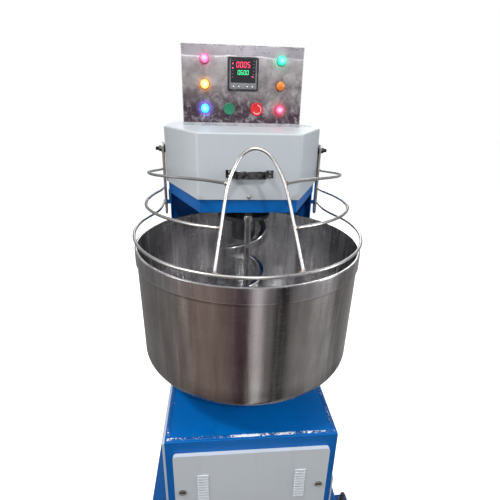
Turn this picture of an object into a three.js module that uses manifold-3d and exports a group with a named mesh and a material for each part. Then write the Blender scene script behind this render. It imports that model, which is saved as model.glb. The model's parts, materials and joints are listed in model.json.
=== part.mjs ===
// Spiral dough mixer: open drive base, recessed column, faceted head, turning bowl,
// spiral tool with a fixed breaker bar, and a lifting rod guard.
// Units are millimetres, +Z is up, +X is the operator's right and -Y faces the operator.
// Sizes are worked out around the bowl's axis; the whole machine is then centred on its own footprint.

import * as THREE from 'three';
import { mergeVertices } from 'three/addons/utils/BufferGeometryUtils.js';
import Module from 'manifold-3d';

const wasm = await Module();
wasm.setup();

// ---------------------------------------------------------------- driving dimensions
const GAP = 0.3;                      // clearance kept between touching pieces
const SHEET = 3;                      // body sheet
const COVER_SHEET = 2;                // hood and control box sheet

const FRAME_SHIFT_Y = -160;           // from the bowl's axis to the middle of the footprint

const PLINTH = { halfWidth: 310, front: -276, back: 600, bottom: 22, top: 100, rail: 95 };
const LUG = { reach: 48, overlap: 10, halfWidth: 26, bottom: 60, top: 72, frontX: 336, frontY: -122,
  backX: 189, backY: 400 };
const FOOT = { padRadius: 28, padHeight: 10, neckRadius: 13, neckTop: 17, studRadius: 8, studFoot: 19,
  nutRadius: 14, nutHeight: 11, top: 114, point: 5 };

const BEARERS = [[-181, 290], [330, 470]];   // openings; the bearers between them carry the bowl's motor

const BASE = { halfWidth: 222, front: -276, back: 600, top: 560 };
const PANEL = { halfWidth: 202, bottom: 269, top: 523, depth: 10.7, corner: 9, sheet: 1.5 };
const LOUVRE = { count: 11, pitch: 9.6, width: 30, height: 4, x: 128, centreZ: 404 };
const LOCK = { x: 181.5, z: 396, flangeRadius: 10, bodyRadius: 7.5, flangeHeight: 3, camReach: 25, camHalf: 6,
  camThickness: 3, camGap: 0.8, slotHalf: 1.2 };
const LEFT_COVER = { y: -12, z: 352, halfWidth: 258, halfHeight: 202 };
const RIGHT_COVER = { y: -12, z: 265, halfWidth: 258, halfHeight: 130 };
const SIDE_COVER = { depth: 6.5, corner: 6 };
const REAR_COVER = { z: 820, halfWidth: 185, halfHeight: 190, depth: 8, corner: 8 };
const GLAND = { x: 150, z: 180, radius: 11, mouth: 8, nutRadius: 16, nutHeight: 9 };
const WINDOW_LAP = 10;                // how far a cover laps over the hole behind it

const COLUMN = { halfWidth: 238, front: 250, wall: 325, back: 600, top: 1074.7, sheet: 4 };
const HOOD = { noseHalf: 135, noseY: -10, sideHalf: 245.5, sideY: 250, back: 600, bottom: 1112.4, top: 1282 };
const HEAD = { inset: 6, stripBottom: 1075, plateBottom: 1104, top: 1112.1, sheet: 4, bearingHole: 47,
  motorHole: 20 };
const HANDLE = { z: 1181, halfWidth: 10, tabEnd: 62, tabInner: 42, sheet: 3, bowHalf: 30, bowDepth: 27,
  bowSheet: 5 };

const BOX = { halfWidth: 188.5, front: 297, depth: 150, bottom: 1282.3, top: 1515 };
const HOLE_RADIUS = 11.2;             // 22 mm panel cut-outs
const LAMP = { x: 118.5, rows: [1476, 1404, 1334] };
const BUTTON = { x: 43, z: 1334 };
const TIMER = { z: 1435, bezel: 96, bezelDepth: 8, body: 90, bodyDepth: 70, cutout: 92 };
const KEY = { xs: [-30, -13, 13, 29], drop: 35, radius: 4, depth: 2.8, crown: 1.4, pocket: 4.6,
  pocketDepth: 5 };

const LAMP_PROFILE = [[0, -38], [10.5, -38], [10.5, GAP], [15, GAP], [15, 5], [12.5, 6], [12.5, 13],
  [8, 18.5],
  [0, 20]];
const START_BUTTON = { radius: 18, headBack: 13, headFront: 24 };
const STOP_BUTTON = { radius: 20, headBack: 18, headFront: 32 };
const PLUNGER = { radius: 10, depth: 20 };

const BOWL = { rimZ: 1000, rimRadius: 304, bandHeight: 40, topRadius: 300.5, footRadius: 296.5,
  depth: 330, corner: 28, wall: 3 };
const BOWL_HUB = { shaft: 25, boss: 48, bossFoot: 580, plate: 100, rim: 14, web: 22 };
const BOWL_BEARING = { bore: 25.8, body: 54, bottom: 440, flange: 86, flangeHeight: 12, lip: 60,
  lipHeight: 16,
  hole: 56 };
const SPIRAL_FLANGE = { radius: 82, bottom: 1020, top: 1034, boss: 34, bossTop: 1044, shaft: 20, chamfer: 4 };
const SPIRAL_BEARING = { bore: 20.8, body: 45, bottom: 1050, flange: 72, flangeHeight: 12, neck: 42,
  top: 1200 };
const BREAKER = { y: 10, radius: 9.5, bottom: 692, collarRadius: 12.5, collarLow: 1048, collarHigh: 1064 };
const SPIRAL = { y: 165, radius: 64, barWidth: 20, barHeight: 34, pitch: 150, topZ: 1000, bottomZ: 722,
  sweepIn: 110, startAngle: 180, steps: 60, hubRadius: 38, hubBottom: 945 };

const ROD = 3.75;                     // guard rod radius
const LOWER_RING_RADIUS = 302;
const ARM = { inner: 249, thickness: 6, width: 26, bottom: 1000, top: 1233 };
const PIVOT = { y: 257, z: 1213 };
const STOP = { radius: 7, z: 1036, end: 264, chamfer: 2 };
const BOLT = { spacer: 13, journal: 6, hole: 6.6, headRadius: 10, head: 10, end: 20 };
const SWITCH = { y: 310, z: 1048, halfHeight: 24 };
const LAP_X = ARM.inner + ARM.thickness + GAP + ROD;   // centre line of a rod lapped on the arm's outer face
const LAP_Y = PIVOT.y + 9;                             // where a lapped rod ends
// The loop's legs lean back in one plane: [half-width, distance up the plane].
const LOOP_FOOT = { y: -287.7, lean: THREE.MathUtils.degToRad(30) };
const LOOP_OUTLINE = [[92, 8.3], [78, 98], [62, 190], [48, 228], [27, 262], [0, 274]];
// Half rings run from the arm, out past the bowl's side, and in to the loop's leg.
const MIDDLE_RING = [[LAP_X, LAP_Y], [LAP_X + 3, 215], [274, 141], [277, 50], [261, -40], [212, -135],
  [140, -207],
  [83, -239]];
const TOP_RING = [[LAP_X, LAP_Y], [LAP_X + 5, 222], [277, 165], [277, 105], [252, 32], [217, -14], [165, -62],
  [112, -114], [66, -180]];

const BOWL_DRIVE = { motorY: 400, pulleyZ: 400, pulley: 120, motorPulley: 40, face: 36 };
const SPIRAL_DRIVE = { motorY: 465, pulleyZ: 1232, pulley: 105, motorPulley: 35, face: 32 };
const MOTOR = { radius: 84, endRadius: 78, endHeight: 8, plateCorner: 12, shaft: 12, bowlPlate: 112,
  spiralPlate: 100, plateThickness: 12 };
const BELT_THICKNESS = 7;
const BELT_GAP = 2.5;                 // the belt's facets stay clear of the turning pulleys

// ---------------------------------------------------------------- finishes
function finish(color, roughness, metalness) {
  return new THREE.MeshStandardMaterial({ color, roughness, metalness });
}

const BLUE_PAINT = finish(0x1567b5, 0.45, 0.1);
const WHITE_PAINT = finish(0xc9cfd3, 0.5, 0.05);
const STAINLESS = finish(0x9c9791, 0.3, 0.95);
const BRIGHT_STEEL = finish(0xc8c6c0, 0.25, 0.95);
const DARK_STEEL = finish(0x3a3c40, 0.5, 0.8);
const CAST_GREY = finish(0x6d7378, 0.6, 0.6);
const MOTOR_GREY = finish(0x57636b, 0.55, 0.3);
const BLACK_PLASTIC = finish(0x17181a, 0.5, 0.0);
const RUBBER = finish(0x1c1c1c, 0.8, 0.0);
const GREEN_PLASTIC = finish(0x1f7d5c, 0.5, 0.0);
const RED_PLASTIC = finish(0xd0202c, 0.45, 0.0);
const LAMP_COLOURS = {
  pilot_lamp_top_left: 0xff4f9a,
  pilot_lamp_top_right: 0x22e0b0,
  pilot_lamp_middle_left: 0xffd24a,
  pilot_lamp_middle_right: 0xf08018,
  pilot_lamp_bottom_left: 0x28c8ff,
  pilot_lamp_bottom_right: 0xff3f6a,
};

// ---------------------------------------------------------------- solid helpers
function toSolid(geometry) {
  const bare = geometry.clone();
  bare.deleteAttribute('normal');
  bare.deleteAttribute('uv');
  const welded = mergeVertices(bare, 1e-4);
  return new wasm.Manifold(new wasm.Mesh({
    numProp: 3,
    vertProperties: new Float32Array(welded.attributes.position.array),
    triVerts: new Uint32Array(welded.index.array),
  }));
}

function toGeometry(solid) {
  const mesh = solid.getMesh();
  const geometry = new THREE.BufferGeometry();
  geometry.setAttribute('position', new THREE.BufferAttribute(mesh.vertProperties, 3));
  geometry.setIndex(new THREE.BufferAttribute(mesh.triVerts, 1));
  return geometry;
}

function join(first, ...others) {
  return toGeometry(others.reduce((solid, other) => solid.add(toSolid(other)), toSolid(first)));
}

function cut(first, ...tools) {
  return toGeometry(tools.reduce((solid, tool) => solid.subtract(toSolid(tool)), toSolid(first)));
}

function block(x0, x1, y0, y1, z0, z1) {
  const geometry = new THREE.BoxGeometry(x1 - x0, y1 - y0, z1 - z0);
  return geometry.translate((x0 + x1) / 2, (y0 + y1) / 2, (z0 + z1) / 2);
}

// A round or hexagonal post standing on Z.
function post(radius, z0, z1, sides = 24) {
  const geometry = new THREE.CylinderGeometry(radius, radius, z1 - z0, sides);
  return geometry.rotateX(Math.PI / 2).translate(0, 0, (z0 + z1) / 2);
}

// A turned piece: profile points are [radius, height], from the bottom up the outside.
function turned(profile, sides = 24) {
  const points = profile.map(([radius, height]) => new THREE.Vector2(radius, height));
  return new THREE.LatheGeometry(points, sides).rotateX(Math.PI / 2);
}

// A turned ring: the profile closes on itself around a bore.
function turnedRing(profile, sides = 24) {
  return turned([...profile, profile[0]], sides);
}

function outline(points) {
  return new THREE.Shape(points.map(([x, y]) => new THREE.Vector2(x, y)));
}

function prism(shape, z0, z1, curveSegments = 8) {
  const geometry = new THREE.ExtrudeGeometry(shape, { depth: z1 - z0, bevelEnabled: false, curveSegments });
  return geometry.translate(0, 0, z0);
}

function roundedRectangle(halfWidth, halfHeight, radius) {
  const shape = new THREE.Shape();
  shape.absarc(halfWidth - radius, halfHeight - radius, radius, 0, Math.PI / 2);
  shape.absarc(radius - halfWidth, halfHeight - radius, radius, Math.PI / 2, Math.PI);
  shape.absarc(radius - halfWidth, radius - halfHeight, radius, Math.PI, 1.5 * Math.PI);
  shape.absarc(halfWidth - radius, radius - halfHeight, radius, 1.5 * Math.PI, 2 * Math.PI);
  return shape;
}

function rectangleHole(x, y, halfWidth, halfHeight) {
  const hole = new THREE.Path();
  hole.moveTo(x - halfWidth, y - halfHeight);
  hole.lineTo(x - halfWidth, y + halfHeight);
  hole.lineTo(x + halfWidth, y + halfHeight);
  hole.lineTo(x + halfWidth, y - halfHeight);
  hole.closePath();
  return hole;
}

function circlePoints(x, y, radius, sides) {
  const points = [];
  for (let i = 0; i < sides; i += 1) {
    const angle = 2 * Math.PI * i / sides;
    points.push(new THREE.Vector2(x + radius * Math.cos(angle), y + radius * Math.sin(angle)));
  }
  return points;
}

function roundHole(x, y, radius, sides = 20) {
  return new THREE.Path(circlePoints(x, y, radius, sides));
}

// Turns a piece drawn on XY, with its depth on Z, to face the operator: depth points to -Y.
function facingFront(geometry) {
  return geometry.rotateX(Math.PI / 2);
}

// Turns a piece drawn on XY to face a side: its drawn x runs along Y and its depth points outwards.
function facingSide(geometry, side) {
  const across = new THREE.Vector3(0, side, 0);
  const up = new THREE.Vector3(0, 0, 1);
  const outwards = new THREE.Vector3(side, 0, 0);
  return geometry.applyMatrix4(new THREE.Matrix4().makeBasis(across, up, outwards));
}

// A lift-off sheet cover with a returned edge: drawn on XY, its face at z = depth.
function tray(halfWidth, halfHeight, depth, sheet, corner) {
  const face = roundedRectangle(halfWidth, halfHeight, corner);
  const rim = roundedRectangle(halfWidth, halfHeight, corner);
  rim.holes.push(roundedRectangle(halfWidth - sheet, halfHeight - sheet, corner - sheet));
  return join(prism(face, depth - sheet, depth, 2), prism(rim, GAP, depth - sheet / 2, 2));
}

// A rod bent along a smooth curve through the given points.
function rod(points, steps) {
  const corners = points.map(([x, y, z]) => new THREE.Vector3(x, y, z));
  const path = new THREE.CatmullRomCurve3(corners, false, 'centripetal');
  const section = new THREE.Shape(circlePoints(0, 0, ROD, 6));
  return new THREE.ExtrudeGeometry(section, { steps, extrudePath: path });
}

function mirrored(points) {
  return points.map(([x, y, z]) => [-x, y, z]);
}

const machine = new THREE.Group();
machine.position.y = FRAME_SHIFT_Y;

function add(name, geometry, material, x = 0, y = 0, z = 0) {
  const mesh = new THREE.Mesh(geometry, material);
  mesh.name = name;
  mesh.position.set(x, y, z);
  machine.add(mesh);
}

const SIDES = [['left', -1], ['right', 1]];

// ---------------------------------------------------------------- plinth and levelling feet
function plinthFrame() {
  const { halfWidth, front, back, bottom, top, rail } = PLINTH;
  const shape = outline([[-halfWidth, front], [halfWidth, front], [halfWidth, back], [-halfWidth, back]]);
  for (const [y0, y1] of BEARERS) {
    shape.holes.push(rectangleHole(0, (y0 + y1) / 2, halfWidth - rail, (y1 - y0) / 2));
  }
  let frame = prism(shape, bottom, top);
  // The front lugs stand out from the rails; the rear ones point inwards, under the motor.
  const lugs = [
    [halfWidth - LUG.overlap, halfWidth + LUG.reach, LUG.frontX, LUG.frontY],
    [halfWidth - rail - LUG.reach, halfWidth - rail + LUG.overlap, LUG.backX, LUG.backY],
  ];
  for (const [near, far, screwX, y] of lugs) {
    for (const [, side] of SIDES) {
      const [low, high] = [side * near, side * far].sort((a, b) => a - b);
      const lug = block(low, high, y - LUG.halfWidth, y + LUG.halfWidth, LUG.bottom, LUG.top);
      const hole = post(FOOT.studRadius + 0.5, LUG.bottom - 5, LUG.top + 5, 12);
      frame = cut(join(frame, lug), hole.translate(side * screwX, y, 0));
    }
  }
  return frame;
}

function levellingFoot() {
  const { padRadius, padHeight, neckRadius, neckTop, studRadius, studFoot, nutRadius, nutHeight, top,
    point } = FOOT;
  const screw = turned([[0, 0], [padRadius, 0], [padRadius, padHeight], [neckRadius, neckTop],
    [studRadius, studFoot], [studRadius, top - point], [0, top]], 12);
  const lowerNut = post(nutRadius, LUG.bottom - GAP - nutHeight, LUG.bottom - GAP, 6);
  const upperNut = post(nutRadius, LUG.top + GAP, LUG.top + GAP + nutHeight, 6);
  return join(screw, lowerNut, upperNut);
}

add('plinth_frame', plinthFrame(), BLUE_PAINT);
for (const [sideName, side] of SIDES) {
  add(`levelling_foot_front_${sideName}`, levellingFoot(), RUBBER, side * LUG.frontX, LUG.frontY);
  add(`levelling_foot_rear_${sideName}`, levellingFoot(), RUBBER, side * LUG.backX, LUG.backY);
}

// ---------------------------------------------------------------- base housing and its covers
const panelHalfHeight = (PANEL.top - PANEL.bottom) / 2;
const panelMiddleZ = (PANEL.top + PANEL.bottom) / 2;

function baseHousing() {
  const { halfWidth, front, back, top } = BASE;
  const bottom = PLINTH.top + GAP;
  const shell = block(-halfWidth, halfWidth, front, back, bottom, top);
  const inside = block(SHEET - halfWidth, halfWidth - SHEET, front + SHEET, back - SHEET, bottom - 5,
    top - SHEET);
  const frontWindow = block(WINDOW_LAP - PANEL.halfWidth, PANEL.halfWidth - WINDOW_LAP, front - 5, front + 5,
    PANEL.bottom + WINDOW_LAP, PANEL.top - WINDOW_LAP);
  const bearingHole = post(BOWL_BEARING.hole, top - 10, top + 5);
  const sideWindows = [[LEFT_COVER, -1], [RIGHT_COVER, 1]].map(([cover, side]) => {
    const x = side * halfWidth;
    return block(x - 5, x + 5, cover.y - cover.halfWidth + WINDOW_LAP, cover.y + cover.halfWidth - WINDOW_LAP,
      cover.z - cover.halfHeight + WINDOW_LAP, cover.z + cover.halfHeight - WINDOW_LAP);
  });
  return cut(shell, inside, frontWindow, bearingHole, ...sideWindows);
}

function frontPanel() {
  const holes = [];
  for (const [, side] of SIDES) {
    for (let i = 0; i < LOUVRE.count; i += 1) {
      const y = LOUVRE.centreZ - panelMiddleZ + (i - (LOUVRE.count - 1) / 2) * LOUVRE.pitch;
      const x = side * LOUVRE.x;
      holes.push(block(x - LOUVRE.width / 2, x + LOUVRE.width / 2, y - LOUVRE.height / 2,
        y + LOUVRE.height / 2,
        PANEL.depth - 5, PANEL.depth + 5));
    }
    const lockHole = post(LOCK.bodyRadius + 0.5, PANEL.depth - 5, PANEL.depth + 5, 16);
    holes.push(lockHole.translate(side * LOCK.x, LOCK.z - panelMiddleZ, 0));
  }
  const panel = tray(PANEL.halfWidth, panelHalfHeight, PANEL.depth, PANEL.sheet, PANEL.corner);
  return facingFront(cut(panel, ...holes));
}

// Quarter-turn lock: a slotted head in front of the panel and a cam bar behind the housing's edge.
function panelLock(side) {
  const { flangeRadius, bodyRadius, flangeHeight, camReach, camHalf, camThickness, camGap, slotHalf } = LOCK;
  const headBack = PANEL.depth + GAP;
  const headFront = headBack + flangeHeight;
  const camFront = -(SHEET + camGap);
  const camBack = camFront - camThickness;
  const body = turned([[0, camBack], [bodyRadius, camBack], [bodyRadius, headBack], [flangeRadius, headBack],
    [flangeRadius, headFront - 1], [flangeRadius - 2, headFront], [0, headFront]], 16);
  const camEnd = side * camReach;
  const cam = block(Math.min(0, camEnd), Math.max(0, camEnd), -camHalf, camHalf, camBack, camFront);
  const slot = block(-camHalf, camHalf, -slotHalf, slotHalf, headFront - 2, headFront + 2);
  return facingFront(cut(join(body, cam), slot));
}

function sideCover(cover, side) {
  const { depth, corner } = SIDE_COVER;
  return facingSide(tray(cover.halfWidth, cover.halfHeight, depth, PANEL.sheet, corner), side);
}

function cableGland() {
  const length = -2 * FRAME_SHIFT_Y + LOWER_RING_RADIUS + ROD - BASE.back;
  const body = turned([[0, GAP], [GLAND.radius, GAP], [GLAND.radius, length - 8], [GLAND.mouth, length],
    [0, length]], 16);
  return join(body, post(GLAND.nutRadius, GAP, GLAND.nutHeight, 6)).rotateX(-Math.PI / 2);
}

add('base_housing', baseHousing(), BLUE_PAINT);
add('front_panel', frontPanel(), WHITE_PAINT, 0, BASE.front, panelMiddleZ);
for (const [sideName, side] of SIDES) {
  add(`panel_lock_${sideName}`, panelLock(side), DARK_STEEL, side * LOCK.x, BASE.front, LOCK.z);
}
add('side_cover_left', sideCover(LEFT_COVER, -1), WHITE_PAINT, -BASE.halfWidth, LEFT_COVER.y, LEFT_COVER.z);
add('side_cover_right', sideCover(RIGHT_COVER, 1), WHITE_PAINT, BASE.halfWidth, RIGHT_COVER.y, RIGHT_COVER.z);

// ---------------------------------------------------------------- column
function columnShell() {
  const { halfWidth, front, wall, back, top, sheet } = COLUMN;
  const inner = halfWidth - sheet;
  const shape = outline([[-halfWidth, front], [-inner, front], [-inner, wall], [inner, wall], [inner, front],
    [halfWidth, front], [halfWidth, back], [-halfWidth, back]]);
  shape.holes.push(rectangleHole(0, (wall + back) / 2, inner, (back - wall) / 2 - sheet));
  const window = block(WINDOW_LAP - REAR_COVER.halfWidth, REAR_COVER.halfWidth - WINDOW_LAP, back - 10,
    back + 5,
    REAR_COVER.z - REAR_COVER.halfHeight + WINDOW_LAP, REAR_COVER.z + REAR_COVER.halfHeight - WINDOW_LAP);
  return cut(prism(shape, BASE.top + GAP, top), window);
}

// The cover's drawn depth points to +Y, so it closes the window in the column's back.
function rearCover() {
  const { halfWidth, halfHeight, depth, corner } = REAR_COVER;
  return facingFront(tray(halfWidth, halfHeight, depth, PANEL.sheet, corner)).rotateZ(Math.PI);
}

add('column_shell', columnShell(), BLUE_PAINT);
add('rear_cover', rearCover(), WHITE_PAINT, 0, COLUMN.back, REAR_COVER.z);
add('cable_gland', cableGland(), BLACK_PLASTIC, GLAND.x, BASE.back, GLAND.z);

// ---------------------------------------------------------------- head
// The head's plan: a flat nose, two slanted cheeks and straight sides.
function headPlan(inset) {
  const slant = Math.atan2(HOOD.sideY - HOOD.noseY, HOOD.sideHalf - HOOD.noseHalf);
  const noseHalf = HOOD.noseHalf - inset * Math.tan(slant / 2);
  const sideHalf = HOOD.sideHalf - inset;
  const noseY = HOOD.noseY + inset;
  const sideY = HOOD.sideY + inset * Math.tan((Math.PI / 2 - slant) / 2);
  const back = HOOD.back - inset;
  return [[-noseHalf, noseY], [noseHalf, noseY], [sideHalf, sideY], [sideHalf, back], [-sideHalf, back],
    [-sideHalf, sideY]];
}

function headFrame() {
  const strip = outline(headPlan(HEAD.inset));
  strip.holes.push(new THREE.Path(headPlan(HEAD.inset + HEAD.sheet).map(([x, y]) => new THREE.Vector2(x,
    y))));
  const plate = outline(headPlan(HEAD.inset));
  plate.holes.push(roundHole(0, SPIRAL.y, HEAD.bearingHole),
    roundHole(0, SPIRAL_DRIVE.motorY, HEAD.motorHole));
  return join(prism(strip, HEAD.stripBottom, HEAD.plateBottom + 1), prism(plate, HEAD.plateBottom, HEAD.top));
}

function hoodCover() {
  const outer = prism(outline(headPlan(0)), HOOD.bottom, HOOD.top);
  const inner = prism(outline(headPlan(COVER_SHEET)), HOOD.bottom - 5, HOOD.top - COVER_SHEET);
  return cut(outer, inner);
}

// A bent strap: two screw tabs on the nose and a bow that stands off for the fingers.
function hoodHandle() {
  const { halfWidth, tabEnd, tabInner, sheet, bowHalf, bowDepth, bowSheet } = HANDLE;
  const bowInside = bowDepth - bowSheet;
  const shape = new THREE.Shape();
  shape.moveTo(-tabEnd, 0);
  shape.lineTo(-tabInner, 0);
  shape.quadraticCurveTo(4 - tabInner, bowInside, -bowHalf, bowInside);
  shape.lineTo(bowHalf, bowInside);
  shape.quadraticCurveTo(tabInner - 4, bowInside, tabInner, 0);
  shape.lineTo(tabEnd, 0);
  shape.lineTo(tabEnd, sheet);
  shape.lineTo(tabInner + sheet, sheet);
  shape.quadraticCurveTo(tabInner - 1, bowDepth, bowHalf + 1, bowDepth);
  shape.lineTo(-bowHalf - 1, bowDepth);
  shape.quadraticCurveTo(1 - tabInner, bowDepth, -tabInner - sheet, sheet);
  shape.lineTo(-tabEnd, sheet);
  shape.closePath();
  return prism(shape, -halfWidth, halfWidth, 6).rotateX(Math.PI).translate(0, -GAP, 0);
}

add('head_frame', headFrame(), BLUE_PAINT);
add('hood_cover', hoodCover(), WHITE_PAINT);
add('hood_handle', hoodHandle(), DARK_STEEL, 0, HOOD.noseY, HANDLE.z);

// ---------------------------------------------------------------- control box
function controlBox() {
  const { halfWidth, front, depth, bottom, top } = BOX;
  const shell = block(-halfWidth, halfWidth, front, front + depth, bottom, top);
  const inside = block(COVER_SHEET - halfWidth, halfWidth - COVER_SHEET, front + COVER_SHEET,
    front + depth - COVER_SHEET, bottom + COVER_SHEET, top - COVER_SHEET);
  const cutout = TIMER.cutout / 2;
  const tools = [block(-cutout, cutout, front - 5, front + 5, TIMER.z - cutout, TIMER.z + cutout)];
  const holeCentres = [[-BUTTON.x, BUTTON.z], [BUTTON.x, BUTTON.z]];
  for (const z of LAMP.rows) {
    holeCentres.push([-LAMP.x, z], [LAMP.x, z]);
  }
  for (const [x, z] of holeCentres) {
    tools.push(facingFront(post(HOLE_RADIUS, -5, 5, 14)).translate(x, front, z));
  }
  return cut(shell, inside, ...tools);
}

// Drawn with its depth outwards: a round bezel and domed lens outside, a lamp body inside the box.
function pilotLamp() {
  return facingFront(turned(LAMP_PROFILE, 14));
}

function timerHousing() {
  const half = TIMER.bezel / 2;
  const bodyHalf = TIMER.body / 2;
  const bezel = prism(roundedRectangle(half, half, 4), GAP, TIMER.bezelDepth, 3);
  const body = block(-bodyHalf, bodyHalf, -bodyHalf, bodyHalf, -TIMER.bodyDepth, GAP + 1);
  const pockets = KEY.xs.map((x) => post(KEY.pocket, TIMER.bezelDepth - KEY.pocketDepth,
    TIMER.bezelDepth + 5, 10)
    .translate(x, -KEY.drop, 0));
  return facingFront(cut(join(bezel, body), ...pockets));
}

function timerKey() {
  const foot = TIMER.bezelDepth - KEY.depth;
  const crown = TIMER.bezelDepth + KEY.crown;
  return facingFront(turned([[0, foot], [KEY.radius, foot], [KEY.radius, crown - 0.6],
    [KEY.radius - 0.8, crown],
    [0, crown]], 10));
}

// A flat mushroom head on a plunger that passes through the box's face.
function mushroomButton({ radius, headBack, headFront }) {
  return facingFront(turned([[0, -PLUNGER.depth], [PLUNGER.radius, -PLUNGER.depth],
    [PLUNGER.radius, headBack],
    [radius - 2, headBack], [radius, headBack + 2], [radius, headFront - 2.5], [radius - 2.5, headFront],
    [0, headFront]], 18));
}

add('control_box', controlBox(), STAINLESS);
LAMP.rows.forEach((z, row) => {
  const rowName = ['top', 'middle', 'bottom'][row];
  for (const [sideName, side] of SIDES) {
    const name = `pilot_lamp_${rowName}_${sideName}`;
    add(name, pilotLamp(), finish(LAMP_COLOURS[name], 0.3, 0), side * LAMP.x, BOX.front, z);
  }
});
add('timer_housing', timerHousing(), BLACK_PLASTIC, 0, BOX.front, TIMER.z);
KEY.xs.forEach((x, i) => {
  add(`timer_key_${i + 1}`, timerKey(), BRIGHT_STEEL, x, BOX.front, TIMER.z - KEY.drop);
});
add('start_button', mushroomButton(START_BUTTON), GREEN_PLASTIC, -BUTTON.x, BOX.front, BUTTON.z);
add('emergency_stop_button', mushroomButton(STOP_BUTTON), RED_PLASTIC, BUTTON.x, BOX.front, BUTTON.z);

// ---------------------------------------------------------------- bowl and its drive
function mixingBowl() {
  const { rimZ, rimRadius, bandHeight, topRadius, footRadius, depth, corner, wall } = BOWL;
  const bottom = rimZ - depth;
  const bandFoot = rimZ - bandHeight;
  const cornerSteps = 3;
  const outside = [[0, bottom]];
  const inside = [];
  for (let i = 0; i <= cornerSteps; i += 1) {
    const angle = (i / cornerSteps) * Math.PI / 2;
    const out = footRadius - corner;
    outside.push([out + corner * Math.sin(angle), bottom + corner * (1 - Math.cos(angle))]);
    inside.push([out + (corner - wall) * Math.sin(angle),
      bottom + wall + (corner - wall) * (1 - Math.cos(angle))]);
  }
  outside.push([topRadius, bandFoot], [rimRadius, bandFoot], [rimRadius, rimZ]);
  inside.push([topRadius - wall, bandFoot], [topRadius - wall, rimZ]);
  return turned([...outside, ...inside.reverse(), [0, bottom + wall]], 48);
}

function pulley(grooveRadius, face, middleZ, boreRadius) {
  const flange = grooveRadius + 6;
  const low = middleZ - face / 2;
  const high = middleZ + face / 2;
  return turnedRing([[boreRadius, low], [flange, low], [flange, low + 3], [grooveRadius, low + 3],
    [grooveRadius, high - 3], [flange, high - 3], [flange, high], [boreRadius, high]]);
}

// A motor's shaft and pulley turned as one piece.
function motorPulley(grooveRadius, face, middleZ, shaftFoot) {
  const flange = grooveRadius + 6;
  const low = middleZ - face / 2;
  const high = middleZ + face / 2;
  return turned([[0, shaftFoot], [MOTOR.shaft, shaftFoot], [MOTOR.shaft, low], [flange, low],
    [flange, low + 3],
    [grooveRadius, low + 3], [grooveRadius, high - 3], [flange, high - 3], [flange, high], [0, high]], 20);
}

// A flat belt round two pulleys of different size, its large pulley at the origin.
function belt(large, small, distance, height, middleZ) {
  const wrap = Math.acos((large - small) / distance);
  const loop = (extra, path) => {
    path.absarc(0, 0, large + extra, Math.PI / 2 + wrap, Math.PI / 2 - wrap + 2 * Math.PI);
    path.absarc(0, distance, small + extra, Math.PI / 2 - wrap, Math.PI / 2 + wrap);
    path.closePath();
    return path;
  };
  const shape = loop(BELT_GAP + BELT_THICKNESS, new THREE.Shape());
  shape.holes.push(loop(BELT_GAP, new THREE.Path()));
  return prism(shape, middleZ - height / 2, middleZ + height / 2, 12);
}

function motorBody(flangeHalf, flangeLow, flangeHigh, bodyLow, bodyHigh) {
  const { radius, endRadius, endHeight, plateCorner } = MOTOR;
  const plate = prism(roundedRectangle(flangeHalf, flangeHalf, plateCorner), flangeLow, flangeHigh, 3);
  const casing = turned([[0, bodyLow], [endRadius, bodyLow], [radius, bodyLow + endHeight],
    [radius, bodyHigh - endHeight], [endRadius, bodyHigh], [0, bodyHigh]]);
  return join(plate, casing);
}

function bowlHub() {
  const bowlBottom = BOWL.rimZ - BOWL.depth - GAP;
  const shaftFoot = BOWL_DRIVE.pulleyZ - BOWL_DRIVE.face / 2 - 6;
  const { shaft, boss, bossFoot, plate, rim, web } = BOWL_HUB;
  return turned([[0, shaftFoot], [shaft, shaftFoot], [shaft, bossFoot], [boss, bossFoot],
    [boss, bowlBottom - web],
    [plate, bowlBottom - rim], [plate, bowlBottom], [0, bowlBottom]]);
}

function bowlBearing() {
  const { bore, body, bottom, flange, flangeHeight, lip, lipHeight } = BOWL_BEARING;
  const seat = BASE.top + GAP;
  return turnedRing([[bore, bottom], [body, bottom], [body, seat], [flange, seat],
    [flange, BASE.top + flangeHeight],
    [lip, BASE.top + lipHeight], [bore, BASE.top + lipHeight]]);
}

add('mixing_bowl', mixingBowl(), STAINLESS);
add('bowl_hub', bowlHub(), CAST_GREY);
add('bowl_bearing_housing', bowlBearing(), CAST_GREY);
add('bowl_pulley', pulley(BOWL_DRIVE.pulley, BOWL_DRIVE.face, BOWL_DRIVE.pulleyZ, BOWL_HUB.shaft + GAP),
  CAST_GREY);
add('bowl_motor', motorBody(MOTOR.bowlPlate, PLINTH.top + GAP, PLINTH.top + MOTOR.plateThickness, 108,
  330), MOTOR_GREY, 0, BOWL_DRIVE.motorY);
add('bowl_motor_pulley', motorPulley(BOWL_DRIVE.motorPulley, BOWL_DRIVE.face, BOWL_DRIVE.pulleyZ, 330 + GAP),
  CAST_GREY, 0, BOWL_DRIVE.motorY);
add('bowl_belt', belt(BOWL_DRIVE.pulley, BOWL_DRIVE.motorPulley, BOWL_DRIVE.motorY, BOWL_DRIVE.face - 9,
  BOWL_DRIVE.pulleyZ), RUBBER);

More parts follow.
